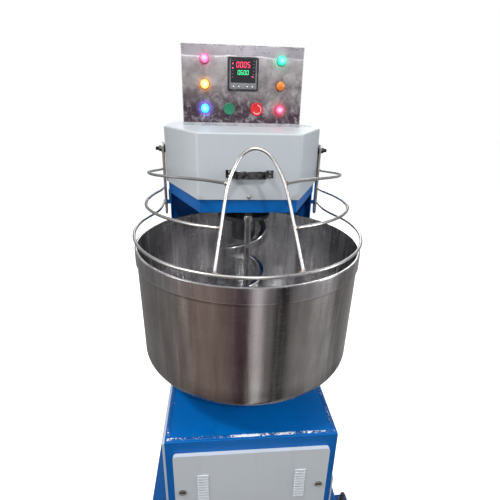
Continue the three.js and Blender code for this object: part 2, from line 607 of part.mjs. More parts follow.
// ---------------------------------------------------------------- spiral, breaker bar and their drive
// A straight bar is drawn along Z and wound: it leaves the hub sideways and then winds down the coil.
function spiralTool() {
  const { radius, barWidth, barHeight, pitch, topZ, bottomZ, steps, hubRadius, hubBottom } = SPIRAL;
  const sweepIn = THREE.MathUtils.degToRad(SPIRAL.sweepIn);
  const startAngle = THREE.MathUtils.degToRad(SPIRAL.startAngle);
  const coil = 2 * Math.PI * (topZ - bottomZ) / pitch;
  const bar = new THREE.BoxGeometry(barWidth, barHeight, 1, 1, 1, steps);
  const position = bar.attributes.position;
  for (let i = 0; i < position.count; i += 1) {
    const turn = (position.getZ(i) + 0.5) * (sweepIn + coil);
    const out = Math.min(turn / sweepIn, 1);
    const swing = (radius - barWidth / 2 - 1) * Math.sin(out * Math.PI / 2);
    const reach = barWidth / 2 + 1 + swing + position.getX(i);
    const drop = Math.max(turn - sweepIn, 0) / (2 * Math.PI) * pitch;
    const angle = startAngle - turn;
    position.setXYZ(i, reach * Math.cos(angle), reach * Math.sin(angle), topZ - drop + position.getY(i));
  }
  const hub = turned([[0, hubBottom], [hubRadius - 8, hubBottom], [hubRadius, hubBottom + 8],
    [hubRadius, SPIRAL_FLANGE.bottom - GAP], [0, SPIRAL_FLANGE.bottom - GAP]], 20);
  return join(hub, bar);
}

function spiralShaft() {
  const { radius, bottom, top, boss, bossTop, shaft, chamfer } = SPIRAL_FLANGE;
  const shaftTop = SPIRAL_DRIVE.pulleyZ + SPIRAL_DRIVE.face / 2 + 6;
  return turned([[0, bottom], [radius - chamfer, bottom], [radius, bottom + chamfer], [radius, top],
    [boss, top],
    [boss, bossTop], [shaft, bossTop], [shaft, shaftTop], [0, shaftTop]]);
}

function spiralBearing() {
  const { bore, body, bottom, flange, flangeHeight, neck, top } = SPIRAL_BEARING;
  const seat = HEAD.top + GAP;
  const flangeTop = HEAD.top + flangeHeight;
  return turnedRing([[bore, bottom], [body, bottom], [body, seat], [flange, seat], [flange, flangeTop],
    [body, flangeTop + 4], [neck, top], [bore, top]]);
}

function breakerBar() {
  const { radius, bottom, collarRadius, collarLow, collarHigh } = BREAKER;
  const top = HEAD.plateBottom - GAP;
  return turned([[0, bottom], [radius - 3, bottom], [radius, bottom + 5], [radius, collarLow - 2],
    [collarRadius, collarLow], [collarRadius, collarHigh], [radius, collarHigh + 2], [radius, top],
    [0, top]], 14);
}

add('spiral_tool', spiralTool(), STAINLESS, 0, SPIRAL.y);
add('spiral_shaft', spiralShaft(), DARK_STEEL, 0, SPIRAL.y);
add('spiral_bearing_housing', spiralBearing(), CAST_GREY, 0, SPIRAL.y);
add('spiral_pulley', pulley(SPIRAL_DRIVE.pulley, SPIRAL_DRIVE.face, SPIRAL_DRIVE.pulleyZ,
  SPIRAL_FLANGE.shaft + GAP),
  CAST_GREY, 0, SPIRAL.y);
add('spiral_motor', motorBody(MOTOR.spiralPlate, HEAD.plateBottom - MOTOR.plateThickness,
  HEAD.plateBottom - GAP, 860, HEAD.plateBottom - 4),
  MOTOR_GREY, 0, SPIRAL_DRIVE.motorY);
add('spiral_motor_pulley', motorPulley(SPIRAL_DRIVE.motorPulley, SPIRAL_DRIVE.face, SPIRAL_DRIVE.pulleyZ,
  HEAD.plateBottom), CAST_GREY, 0, SPIRAL_DRIVE.motorY);
add('spiral_belt', belt(SPIRAL_DRIVE.pulley, SPIRAL_DRIVE.motorPulley, SPIRAL_DRIVE.motorY - SPIRAL.y,
  SPIRAL_DRIVE.face - 9, SPIRAL_DRIVE.pulleyZ), RUBBER, 0, SPIRAL.y);
add('breaker_bar', breakerBar(), BRIGHT_STEEL, 0, BREAKER.y);

// ---------------------------------------------------------------- lifting guard
function guardArm(side) {
  const half = ARM.width / 2;
  const shape = new THREE.Shape();
  shape.absarc(0, ARM.top - PIVOT.z - half, half, 0, Math.PI);
  shape.absarc(0, ARM.bottom - PIVOT.z + half, half, Math.PI, 2 * Math.PI);
  shape.holes.push(roundHole(0, 0, BOLT.hole, 14));
  return facingSide(prism(shape, 0, ARM.thickness, 5), side);
}

// Heights of the guard's three sloping ring planes at a distance y from the bowl's axis.
const lowerZ = (y) => 1031.6 + 0.03 * y;
const middleZ = (y) => 1086 + 0.0443 * (PIVOT.y - y);
const topZ = (y) => 1148 + 0.0972 * (PIVOT.y - y);

// One circle round the bowl's rim, let out to run straight back along both arms.
function lowerRing() {
  const radius = LOWER_RING_RADIUS;
  const sweep = THREE.MathUtils.degToRad(116);
  const arcSteps = 16;
  const points = [[-LAP_X, LAP_Y], [-LAP_X, 215], [-LAP_X - 2, 175]];
  for (let i = 0; i <= arcSteps; i += 1) {
    const angle = sweep * (2 * i / arcSteps - 1);
    points.push([radius * Math.sin(angle), -radius * Math.cos(angle)]);
  }
  points.push([LAP_X + 2, 175], [LAP_X, 215], [LAP_X, LAP_Y]);
  return rod(points.map(([x, y]) => [x, y, lowerZ(y)]), 46);
}

function loopPoint([x, up]) {
  return [x, LOOP_FOOT.y + up * Math.sin(LOOP_FOOT.lean),
    lowerZ(LOOP_FOOT.y) + up * Math.cos(LOOP_FOOT.lean)];
}

function guardLoop() {
  const right = LOOP_OUTLINE.map(loopPoint);
  return rod([...mirrored(right), ...right.slice(0, -1).reverse()], 36);
}

function halfRing(plan, heightAt, side) {
  return rod(plan.map(([x, y]) => [side * x, y, heightAt(y)]), 24);
}

// Pivot bolt: spacer against the hood, journal through the arm, hexagon head and its nut end outside.
function guardPivot(side) {
  const start = HOOD.sideHalf + GAP;
  const armFace = ARM.inner - GAP - start;
  const outside = ARM.inner + ARM.thickness - start;
  const journal = turned([[0, 0], [BOLT.spacer, 0], [BOLT.spacer, armFace], [BOLT.journal, armFace],
    [BOLT.journal, outside + BOLT.end], [0, outside + BOLT.end]], 14);
  const head = post(BOLT.headRadius, outside + GAP, outside + BOLT.head, 6);
  return facingSide(join(journal, head), side).translate(side * start, 0, 0);
}

function guardStop(side) {
  const { radius, end, chamfer } = STOP;
  const length = end - COLUMN.halfWidth;
  return facingSide(turned([[0, GAP], [radius, GAP], [radius, length - chamfer], [radius - chamfer, length],
    [0, length]], 14), side);
}

// Interlock switch: a small body on the column's cheek with a roller lever towards the arm.
function guardSwitch() {
  const body = block(-10, -GAP, -12, 16, -SWITCH.halfHeight, SWITCH.halfHeight);
  const lever = block(-8, -3, -20, -11, 4, 10);
  return join(body, lever);
}

for (const [sideName, side] of SIDES) {
  add(`guard_arm_${sideName}`, guardArm(side), BRIGHT_STEEL, side * ARM.inner, PIVOT.y, PIVOT.z);
  add(`guard_middle_ring_${sideName}`, halfRing(MIDDLE_RING, middleZ, side), BRIGHT_STEEL);
  add(`guard_top_ring_${sideName}`, halfRing(TOP_RING, topZ, side), BRIGHT_STEEL);
  add(`guard_pivot_${sideName}`, guardPivot(side), DARK_STEEL, 0, PIVOT.y, PIVOT.z);
  add(`guard_stop_${sideName}`, guardStop(side), BLUE_PAINT, side * COLUMN.halfWidth,
    PIVOT.y + ARM.width / 2 + GAP + STOP.radius, STOP.z);
}
add('guard_lower_ring', lowerRing(), BRIGHT_STEEL);
add('guard_loop', guardLoop(), BRIGHT_STEEL);
add('guard_switch', guardSwitch(), BLACK_PLASTIC, -COLUMN.halfWidth, SWITCH.y, SWITCH.z);

export default machine;
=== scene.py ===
"""A spiral dough mixer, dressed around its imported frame.

Every sub-assembly is a class: its fields are sizes in metres, its methods shape the meshes with bmesh
operators and dress them in finishes. Pieces sit at the origin, in the frame's own place.
"""
import json
import logging
from collections.abc import Callable, Iterable, Sequence
from dataclasses import dataclass, field
from enum import Enum
from math import copysign, cos, pi, radians, sin, sqrt, tau

import bmesh
import bpy
from bmesh import ops
from mathutils import Matrix, Vector, noise

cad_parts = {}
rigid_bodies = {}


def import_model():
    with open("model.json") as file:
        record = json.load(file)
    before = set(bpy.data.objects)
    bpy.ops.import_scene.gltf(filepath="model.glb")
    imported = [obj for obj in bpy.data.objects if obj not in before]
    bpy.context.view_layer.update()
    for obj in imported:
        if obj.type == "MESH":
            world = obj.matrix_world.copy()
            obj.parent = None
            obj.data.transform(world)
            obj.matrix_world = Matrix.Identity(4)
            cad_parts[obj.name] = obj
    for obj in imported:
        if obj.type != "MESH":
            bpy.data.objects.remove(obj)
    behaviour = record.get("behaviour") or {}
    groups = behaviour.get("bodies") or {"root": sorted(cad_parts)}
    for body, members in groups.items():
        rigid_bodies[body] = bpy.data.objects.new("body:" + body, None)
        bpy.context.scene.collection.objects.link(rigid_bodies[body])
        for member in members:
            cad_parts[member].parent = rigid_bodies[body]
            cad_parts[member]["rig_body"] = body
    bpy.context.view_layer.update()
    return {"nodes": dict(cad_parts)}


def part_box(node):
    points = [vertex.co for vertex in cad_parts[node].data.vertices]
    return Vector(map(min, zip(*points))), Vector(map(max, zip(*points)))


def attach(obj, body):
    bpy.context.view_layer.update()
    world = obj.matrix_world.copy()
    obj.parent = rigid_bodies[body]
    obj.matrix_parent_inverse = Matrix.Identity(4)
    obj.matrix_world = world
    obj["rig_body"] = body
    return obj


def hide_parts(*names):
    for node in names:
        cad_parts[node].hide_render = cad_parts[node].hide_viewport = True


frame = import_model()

LOG = logging.getLogger("dough_mixer")
MACHINE = "machine"  # the body that stands still
SHEET_ROUND = 0.0009  # how far a cut sheet's edges are rounded
COVER_SCREW = (0.0048, 0.0026)  # a cover screw's head: its radius and height
NECK = 0.0098  # the radius of a button's neck
CHIP_REACH = 0.0016  # how far paint chips reach in from an edge
IDENTITY = Matrix.Identity(4)
TURN_TO_FRONT = Matrix.Rotation(radians(90), 4, "X")
Colour = tuple[float, float, float]
Point = tuple[float, float]
Shape = bmesh.types.BMesh
Socket = bpy.types.NodeSocket
moved = Matrix.Translation


class Side(Enum):
    """The two sides of the machine, by the sign of X."""

    LEFT = -1
    RIGHT = 1

    @property
    def label(self) -> str:
        """The side's name as the frame's nodes end."""
        return self.name.lower()


def srgb(red: int, green: int, blue: int) -> Colour:
    """Turns 0 to 255 display values into linear light.

    Args:
        red: display red.
        green: display green.
        blue: display blue.

    Returns:
        The linear colour.
    """
    def channel(value: int) -> float:
        """One channel, from display to linear."""
        share = value / 255
        return share / 12.92 if share <= 0.04045 else ((share + 0.055) / 1.055) ** 2.4
    return channel(red), channel(green), channel(blue)


def shaded(colour: Colour, share: float) -> Colour:
    """A colour with every channel scaled."""
    return tuple(channel * share for channel in colour)


# ---------------------------------------------------------------- node sheets
class Wiring:
    """A node tree, with short ways to add and link nodes."""

    def __init__(self, tree: bpy.types.NodeTree) -> None:
        """Empties a node tree.

        Args:
            tree: the tree to work in.
        """
        self.tree = tree
        tree.nodes.clear()

    def add(self, kind: str, inputs: dict | None = None, **settings: object) -> bpy.types.Node:
        """Adds a node.

        Args:
            kind: the node's type, without the ShaderNode in front.
            inputs: socket name or number, to a value or to the socket that feeds it.
            **settings: the node's own properties.

        Returns:
            The node.
        """
        node = self.tree.nodes.new(f"ShaderNode{kind}")
        for key, value in settings.items():
            setattr(node, key, value)
        for key, value in (inputs or {}).items():
            self.feed(node.inputs[key], value)
        return node

    def feed(self, socket: Socket, value: object) -> None:
        """Sets a socket, or links another one to it."""
        if isinstance(value, Socket):
            self.tree.links.new(value, socket)
        elif isinstance(value, tuple) and len(value) == 3 and socket.type == "RGBA":
            socket.default_value = (*value, 1.0)
        else:
            socket.default_value = value

    def maths(self, operation: str, first: object, second: object = 0.0, clamp: bool = False) -> Socket:
        """One sum on numbers; returns its result."""
        node = self.add("Math", {0: first, 1: second}, operation=operation, use_clamp=clamp)
        return node.outputs[0]

    def plus(self, first: object, second: object, clamp: bool = False) -> Socket:
        """The sum of two numbers."""
        return self.maths("ADD", first, second, clamp)

    def times(self, first: object, second: object) -> Socket:
        """The product of two numbers."""
        return self.maths("MULTIPLY", first, second)

    def span(self, value: Socket, low: float, high: float, new_low: float = 0.0, new_high: float = 1.0) -> Socket:
        """Maps low..high of a value onto new_low..new_high, clamped; returns the result."""
        return self.add("MapRange", {"Value": value, "From Min": low, "From Max": high, "To Min": new_low,
            "To Max": new_high}).outputs[0]

    def vary(self, value: Socket, new_low: float, new_high: float) -> Socket:
        """Maps the middle of a noise's spread onto new_low..new_high."""
        return self.span(value, 0.3, 0.7, new_low, new_high)

    def mixed(self, share: object, first: object, second: object, way: str = "MIX") -> Socket:
        """Mixes two colours; returns the colour."""
        node = self.add("Mix", data_type="RGBA", blend_type=way)
        self.feed(node.inputs[0], share)
        self.feed(node.inputs[6], first)
        self.feed(node.inputs[7], second)
        return node.outputs[2]


class NodeSheet(Wiring):
    """A material's node tree, with the patterns that the finishes share."""

    def __init__(self, name: str) -> None:
        """Opens an empty tree with one shader and its output.

        Args:
            name: the material's name.
        """
        self.material = bpy.data.materials.new(name)
        self.material.use_nodes = True
        super().__init__(self.material.node_tree)
        self.output = self.tree.nodes.new("ShaderNodeOutputMaterial")
        self.shader = self.tree.nodes.new("ShaderNodeBsdfPrincipled")
        self.tree.links.new(self.shader.outputs[0], self.output.inputs[0])
        self.place = self.add("TexCoord").outputs["Object"]

    def set(self, **values: object) -> None:
        """Feeds the shader's sockets, named in lower case with underscores for spaces."""
        for key, value in values.items():
            self.feed(self.shader.inputs[key.replace("_", " ").title().replace("Ior", "IOR")], value)

    def stretched(self, scale: tuple, shift: tuple = (0, 0, 0), turn: tuple = (0, 0, 0)) -> Socket:
        """The object's own coordinates, stretched, turned and moved; returns the vector."""
        return self.add("Mapping", {"Vector": self.place, "Scale": scale, "Location": shift,
            "Rotation": turn}).outputs[0]

    def axis(self, index: int) -> Socket:
        """The object coordinate along one axis, 0 to 2."""
        return self.add("SeparateXYZ", {0: self.place}).outputs[index]

    def grain(self, scale: float, vector: Socket | None = None, detail: float = 4.0, roughness: float = 0.55,
            distortion: float = 0.0) -> Socket:
        """Cloudy noise from 0 to 1.

        Args:
            scale: how many clouds fit in a metre.
            vector: where it is read, or None for the object's own coordinates.
            detail: how many finer layers it has.
            roughness: how strong those layers are.
            distortion: how far it is pulled about.

        Returns:
            The noise.
        """
        return self.add("TexNoise", {"Vector": vector or self.place, "Scale": scale, "Detail": detail,
            "Roughness": roughness, "Distortion": distortion}).outputs[0]

    def lay(self, scale: tuple, detail: float = 4.0, roughness: float = 0.55, turn: tuple = (0, 0, 0)) -> Socket:
        """Noise drawn out along an axis: its scale on each axis, its finer layers and its turn; returns it."""
        return self.grain(1.0, self.stretched(scale, turn=turn), detail, roughness)

    def edges(self, radius: float) -> Socket:
        """How near a sharp edge the surface is, from 0 to 1.

        Args:
            radius: how far from the edge it reaches, in metres.

        Returns:
            The share.
        """
        rounded = self.add("Bevel", {"Radius": radius}, samples=4).outputs[0]
        plain = self.add("NewGeometry").outputs["Normal"]
        dot = self.add("VectorMath", {0: rounded, 1: plain}, operation="DOT_PRODUCT").outputs["Value"]
        return self.span(dot, 0.98, 0.80)

    def bump(self, height: Socket, depth: float, strength: float = 1.0, below: Socket | None = None) -> Socket:
        """A bump of the given depth in metres; returns the normal."""
        inputs = {"Height": height, "Distance": depth, "Strength": strength}
        if below is not None:
            inputs["Normal"] = below
        return self.add("Bump", inputs).outputs[0]


# ---------------------------------------------------------------- finishes
@dataclass(frozen=True)
class Finish:
    """How one surface looks."""

    name: str

    def material(self) -> bpy.types.Material:
        """The finish's material, made once."""
        found = bpy.data.materials.get(self.name)
        if found is None:
            sheet = NodeSheet(self.name)
            self.dress(sheet)
            found = sheet.material
        return found

    def dress(self, sheet: NodeSheet) -> None:
        """Fills in the node sheet."""
        raise NotImplementedError


@dataclass(frozen=True)
class Enamel(Finish):
    """Sprayed or brushed enamel on sheet steel, with grime, scuffs and chipped edges."""

    colour: Colour
    worn: Colour
    roughness: float = 0.38
    grime: float = 0.35
    chips: float = 0.5
    peel: float = 0.00012
    gloss: float = 0.06

    def dress(self, sheet: NodeSheet) -> None:
        """Paint over steel: tone clouds, run marks, dust, chips on edges and an orange-peel surface."""
        clouds = sheet.grain(5.0, detail=6.0, roughness=0.6)
        runs = sheet.lay((26, 26, 2.2), 5.0)
        specks = sheet.grain(260.0, detail=2.0)
        tone = sheet.mixed(sheet.span(clouds, 0.35, 0.7, 0.0, 0.30), self.colour, self.worn)
        dark = shaded(self.colour, 0.55)
        tone = sheet.mixed(sheet.span(runs, 0.55, 0.8, 0.0, self.grime), tone, dark)
        tone = sheet.mixed(sheet.span(specks, 0.66, 0.78, 0.0, self.grime * 0.6), tone, (0.28, 0.27, 0.25))
        nibbled = sheet.grain(120.0, detail=6.0, roughness=0.7)
        chipped = sheet.times(sheet.edges(CHIP_REACH), sheet.span(nibbled, 0.50, 0.60, 0.0, self.chips))
        tone = sheet.mixed(chipped, tone, (0.42, 0.43, 0.44))
        scuffs = sheet.lay((14, 90, 90), 6.0, 0.7, (0.3, 0.5, 0.2))
        rough = sheet.plus(sheet.vary(clouds, self.roughness - 0.06, self.roughness + 0.10),
            sheet.span(scuffs, 0.58, 0.75, 0.0, 0.2), clamp=True)
        surface = sheet.bump(sheet.grain(420.0, detail=2.0), self.peel, 0.5)
        surface = sheet.bump(sheet.grain(9.0, detail=2.0), 0.0012, 0.25, surface)
        sheet.set(base_color=tone, roughness=rough, normal=surface, metallic=0.0, coat_weight=self.gloss,
            coat_roughness=0.22, specular_ior_level=0.22)


@dataclass(frozen=True)
class WeldSpatter(Finish):
    """A weld seam painted over and rubbed through in flakes."""

    paint: Colour
    bare: Colour = (0.93, 0.96, 1.0)
    cover: float = 0.50

    def dress(self, sheet: NodeSheet) -> None:
        """Flakes of pale filler through the paint, rough all over."""
        flakes = sheet.grain(165.0, sheet.stretched((1, 1.3, 1.3)), detail=6.0, roughness=0.75)
        patches = sheet.grain(13.0, detail=4.0)
        edge = sheet.plus(flakes, sheet.span(patches, 0.35, 0.65, -0.12, 0.11))
        shown = sheet.span(edge, self.cover - 0.015, self.cover + 0.02)
        sheet.set(base_color=sheet.mixed(shown, self.paint, self.bare), roughness=sheet.span(shown, 0, 1, 0.4, 0.8),
            normal=sheet.bump(flakes, 0.0009), metallic=0.0)


@dataclass(frozen=True)
class StainedSheet(Finish):
    """The control box's brushed stainless sheet: milky wipes, dark handling stains, rainbow heat marks and a painted
    glow round the lit lamps.
    """

    low: float = 1.282
    high: float = 1.515
    # Painted light: each entry is a lamp's centre, colour and strength for a glow that the sheet emits round it.
    halos: tuple = ()

    def shine(self, sheet: NodeSheet) -> Socket:
        """A glow painted on the sheet round each lit lamp, as emission that stands in for the light the lamps spill;
        returns its colour.
        """
        total: object = (0.0, 0.0, 0.0)
        for centre, colour, strength in self.halos:
            away = sheet.add("VectorMath", {0: sheet.place, 1: centre}, operation="DISTANCE").outputs["Value"]
            near = sheet.maths("POWER", sheet.span(away, 0.034, 0.012), 2.2)
            glow = shaded(colour, strength)
            total = sheet.mixed(1.0, total, sheet.mixed(near, (0.0, 0.0, 0.0), glow), "ADD")
        return total

    def dress(self, sheet: NodeSheet) -> None:
        """Tone by height, wipe marks, blotches and a fine vertical brush."""
        height = sheet.span(sheet.axis(2), self.low, self.high)
        wobble = sheet.grain(9.0, detail=5.0, roughness=0.6, distortion=0.6)
        warped = sheet.plus(height, sheet.vary(wobble, -0.16, 0.16))
        pale, mid, dark = (0.54, 0.505, 0.54), (0.50, 0.465, 0.47), (0.115, 0.078, 0.10)
        tone = sheet.mixed(sheet.span(warped, 0.16, 0.52), dark, mid)
        tone = sheet.mixed(sheet.span(warped, 0.62, 0.95, 0.0, 0.7), tone, pale)
        blotch = sheet.grain(44.0, detail=8.0, roughness=0.70, distortion=0.7)
        stain = sheet.grain(13.0, sheet.stretched((1, 1, 1), (3.1, 1.7, 0.4)), detail=3.0, roughness=0.5,
            distortion=0.8)
        tone = sheet.mixed(sheet.span(stain, 0.50, 0.68, 0.0, 0.45), tone, (0.14, 0.10, 0.115))
        across = sheet.span(sheet.axis(0), -0.19, 0.19, 0.55, 1.0)
        low_down = sheet.times(sheet.span(warped, 0.85, 0.15, 0.10, 1.0), across)
        milky = sheet.times(sheet.span(blotch, 0.50, 0.64, 0.0, 0.66), low_down)
        tone = sheet.mixed(milky, tone, (0.74, 0.73, 0.78))
        wave = sheet.lay((16, 16, 0.5), 4.0, 0.5)
        seam = sheet.maths("SUBTRACT", height, sheet.vary(wave, 0.840, 0.885))
        above = sheet.span(seam, -0.002, 0.006)
        tone = sheet.mixed(sheet.times(above, sheet.vary(wobble, 0.5, 0.85)), tone, (0.47, 0.45, 0.51))
        line = sheet.span(sheet.maths("ABSOLUTE", seam), 0.013, 0.003)
        glaze = sheet.times(line, sheet.span(stain, 0.62, 0.42, 0.15, 1.0))
        below = sheet.times(sheet.span(seam, -0.10, -0.005), sheet.span(above, 0.0, 1.0, 0.28, 0.0))
        glaze = sheet.maths("MAXIMUM", glaze, below)
        tone = sheet.mixed(glaze, tone, (0.95, 0.93, 0.97))
        brush = sheet.lay((900, 900, 14), 3.0, 0.6)
        scratches = sheet.lay((60, 60, 700), 4.0, 0.75, (0.0, 0.5, 0.0))
        rough = sheet.plus(sheet.vary(blotch, 0.24, 0.42), sheet.vary(brush, -0.05, 0.05))
        surface = sheet.bump(brush, 0.00004, 0.5)
        surface = sheet.bump(scratches, 0.00003, 0.5, surface)
        surface = sheet.bump(sheet.grain(11.0, detail=2.0, distortion=0.5), 0.0022, 0.5, surface)
        bare = sheet.maths("SUBTRACT", 0.90, sheet.times(sheet.maths("MAXIMUM", glaze, milky), 0.55))
        sheet.set(base_color=tone, roughness=rough, normal=surface, metallic=bare)
        # Painted light: the sheet emits the glow round the lit lamps.
        if self.halos:
            sheet.set(emission_color=self.shine(sheet), emission_strength=1.0)


@dataclass(frozen=True)
class SpunSteel(Finish):
    """Used stainless turned about a standing axis: level brush lines, soft upright streaks painted into its colour as
    reflections, and dark bands by height.
    """

    centre: Point = (0.0, -0.16)
    light: Colour = (0.70, 0.675, 0.655)
    dark: Colour = (0.40, 0.365, 0.35)
    roughness: float = 0.22
    # How sharp the upright streaks painted in as reflections are; higher is sharper.
    streaks: float = 1.0
    # Dark bands by height: where each starts and ends, and how dark it gets.
    grimy: tuple = ()

    def dress(self, sheet: NodeSheet) -> None:
        """Upright streaks read round the axis and painted in as reflections, level brush lines, rubbed patches,
        scratches and dark bands by height.
        """
        shift = (-self.centre[0], -self.centre[1], 0.0)
        round_it = sheet.add("Mapping", {"Vector": sheet.place, "Location": shift}).outputs[0]

        def read(scale: tuple, push: tuple = (0, 0, 0)) -> Socket:
            """The turned coordinates at another scale."""
            return sheet.add("Mapping", {"Vector": round_it, "Scale": scale, "Location": push}).outputs[0]

        # Painted reflection: upright light and dark streaks in the colour stand in for what the turned steel reflects.
        broad = sheet.grain(1.0, read((7.5, 7.5, 0.9), (0.7, 1.9, 0.0)), detail=3.0, roughness=0.5)
        fine = sheet.grain(1.0, read((42, 42, 3.5)), detail=5.0, roughness=0.62)
        wear = sheet.grain(9.0, detail=6.0, roughness=0.62)
        mix = sheet.plus(sheet.times(broad, 0.62), sheet.times(fine, 0.38))
        mix = sheet.plus(mix, sheet.vary(wear, -0.05, 0.05))
        tone = sheet.mixed(sheet.span(mix, 0.5 - 0.13 / self.streaks, 0.5 + 0.13 / self.streaks), self.dark, self.light)
        tint = sheet.grain(1.0, read((3.2, 3.2, 1.6), (4.0, 0.3, 2.0)), detail=2.0)
        tone = sheet.mixed(sheet.span(tint, 0.50, 0.68, 0.0, 0.30), tone, (0.50, 0.38, 0.42))
        brush = sheet.grain(1.0, read((9, 9, 1300)), detail=3.0, roughness=0.6)
        nicks = sheet.grain(1.0, read((30, 30, 420)), detail=6.0, roughness=0.72)
        tone = sheet.mixed(sheet.span(nicks, 0.64, 0.74, 0.0, 0.45), tone, (0.85, 0.83, 0.81))
        # Each dark band darkens the steel in patches between two heights, darkest towards its second height.
        for start, end, amount in self.grimy:
            dark_band_mask = sheet.times(sheet.span(sheet.axis(2), start, end), sheet.span(wear, 0.42, 0.60))
            tone = sheet.mixed(sheet.times(dark_band_mask, amount), tone, (0.035, 0.03, 0.028))
        rough = sheet.plus(sheet.vary(fine, self.roughness - 0.06, self.roughness + 0.09),
            sheet.vary(brush, -0.04, 0.04))
        surface = sheet.bump(brush, 0.00003, 0.7)
        surface = sheet.bump(nicks, 0.00003, 0.5, surface)
        surface = sheet.bump(sheet.grain(1.0, read((16, 16, 5)), detail=2.0), 0.0012, 0.25, surface)
        round_axis = sheet.add("VectorMath", {0: (0.0, 0.0, 1.0), 1: round_it}, operation="CROSS_PRODUCT")
        lay = sheet.add("VectorTransform", {0: round_axis.outputs[0]}, vector_type="VECTOR", convert_from="OBJECT",
            convert_to="WORLD")
        sheet.set(base_color=tone, roughness=rough, normal=surface, metallic=1.0, anisotropic=0.8,
            tangent=lay.outputs[0], anisotropic_rotation=0.25)


@dataclass(frozen=True)
class WorkedSteel(Finish):
    """Bare worked steel: ground, drawn or polished, with handling marks and optional heat tint."""

    light: Colour = (0.60, 0.59, 0.58)
    dark: Colour = (0.36, 0.35, 0.34)
    roughness: float = 0.24
    lay: tuple = (260, 260, 18)
    tint: float = 0.0
    rust: float = 0.0
    cloud: float = 24.0
    pits: float = 1.0

    def dress(self, sheet: NodeSheet) -> None:
        """Tone clouds, a drawn lay, fine scratches, heat tint and rust specks."""
        clouds = sheet.grain(self.cloud, detail=5.0, roughness=0.6)
        drawn = sheet.lay(self.lay, 4.0, 0.65)
        tone = sheet.mixed(sheet.span(clouds, 0.32, 0.68), self.dark, self.light)
        if self.tint:
            heat = sheet.grain(16.0, detail=2.0)
            tone = sheet.mixed(sheet.span(heat, 0.52, 0.70, 0.0, self.tint), tone, (0.34, 0.22, 0.12))
        if self.rust:
            spots = sheet.grain(85.0, detail=6.0, roughness=0.7)
            tone = sheet.mixed(sheet.span(spots, 0.60, 0.70, 0.0, self.rust), tone, (0.19, 0.09, 0.04))
        rough = sheet.plus(sheet.vary(clouds, self.roughness - 0.05, self.roughness + 0.09),
            sheet.span(drawn, 0.35, 0.7, -0.03, 0.07), clamp=True)
        surface = sheet.bump(drawn, 0.00004, 0.6 * self.pits)
        surface = sheet.bump(sheet.grain(130.0, detail=3.0), 0.00010, 0.4 * self.pits, surface)
        sheet.set(base_color=tone, roughness=rough, normal=surface, metallic=1.0)


@dataclass(frozen=True)
class Casting(Finish):
    """Painted or raw cast metal with a sand-cast skin and oily dust."""

    colour: Colour
    roughness: float = 0.55
    metal: float = 0.0

    def dress(self, sheet: NodeSheet) -> None:
        """A pebbled skin, dust on what faces up and darker oily clouds."""
        skin = sheet.grain(340.0, detail=4.0, roughness=0.6)
        oily = sheet.grain(14.0, detail=5.0, roughness=0.6)
        tone = sheet.mixed(sheet.span(oily, 0.4, 0.7, 0.0, 0.55), self.colour, shaded(self.colour, 0.4))
        upward = sheet.add("SeparateXYZ", {0: sheet.add("NewGeometry").outputs["Normal"]})
        dust = sheet.times(sheet.span(upward.outputs[2], 0.5, 1.0), sheet.span(skin, 0.4, 0.6, 0.2, 0.6))
        tone = sheet.mixed(dust, tone, (0.34, 0.32, 0.29))
        sheet.set(base_color=tone, roughness=sheet.span(oily, 0.35, 0.7, self.roughness + 0.1, self.roughness - 0.15),
            normal=sheet.bump(skin, 0.0004, 0.6), metallic=self.metal)


@dataclass(frozen=True)
class Moulding(Finish):
    """Moulded plastic or rubber with a fine spark-eroded grain, scuffs and a little flour dust."""

    colour: Colour
    roughness: float = 0.45
    grain_depth: float = 0.00006
    dust: float = 0.25

    def dress(self, sheet: NodeSheet) -> None:
        """Grain, rubbed and dusty places."""
        grain = sheet.grain(900.0, detail=2.0)
        rubbed = sheet.grain(45.0, detail=6.0, roughness=0.65)
        pale = tuple(min(1.0, c * 1.35 + 0.02) for c in self.colour)
        tone = sheet.mixed(sheet.span(rubbed, 0.45, 0.7, 0.0, 0.6), self.colour, pale)
        tone = sheet.mixed(sheet.span(rubbed, 0.58, 0.75, 0.0, self.dust), tone, (0.50, 0.48, 0.45))
        rough = sheet.vary(rubbed, self.roughness - 0.08, self.roughness + 0.14)
        sheet.set(base_color=tone, roughness=rough, normal=sheet.bump(grain, self.grain_depth, 0.6), metallic=0.0)


@dataclass(frozen=True)
class LampLens(Finish):
    """A ribbed coloured lens: its own glow is hottest in the middle."""

    colour: Colour = (1.0, 0.1, 0.3)
    core: Colour = (1.0, 0.5, 0.7)
    glow: float = 3.0
    centre: tuple = (0.0, 0.0, 0.0)
    radius: float = 0.0125

    def dress(self, sheet: NodeSheet) -> None:
        """Colour and light by distance from the lens's own centre, over fine moulded ribs."""
        middle = sheet.add("VectorMath", {0: sheet.place, 1: self.centre}, operation="SUBTRACT").outputs[0]
        flat = sheet.add("VectorMath", {0: middle, 1: (1.0, 0.0, 1.0)}, operation="MULTIPLY").outputs[0]
        away = sheet.add("VectorMath", {0: flat}, operation="LENGTH").outputs["Value"]
        heart = sheet.span(away, self.radius * 1.0, self.radius * 0.15)
        ribs = sheet.add("TexWave", {"Vector": flat, "Scale": 260.0, "Distortion": 0.3}, wave_type="RINGS",
            rings_direction="SPHERICAL").outputs[1]
        cloudy = sheet.grain(160.0, detail=3.0)
        tone = sheet.mixed(sheet.span(cloudy, 0.35, 0.7, 0.0, 0.3), self.colour, shaded(self.colour, 0.6))
        sheet.set(base_color=tone, roughness=sheet.vary(cloudy, 0.12, 0.26), metallic=0.0,
            normal=sheet.bump(ribs, 0.0003, 0.6), coat_weight=0.6, coat_roughness=0.08)
        if self.glow:
            sheet.set(emission_color=sheet.mixed(heart, self.colour, self.core), emission_strength=sheet.span(heart,
                0.0, 1.0, self.glow * 0.55, self.glow))


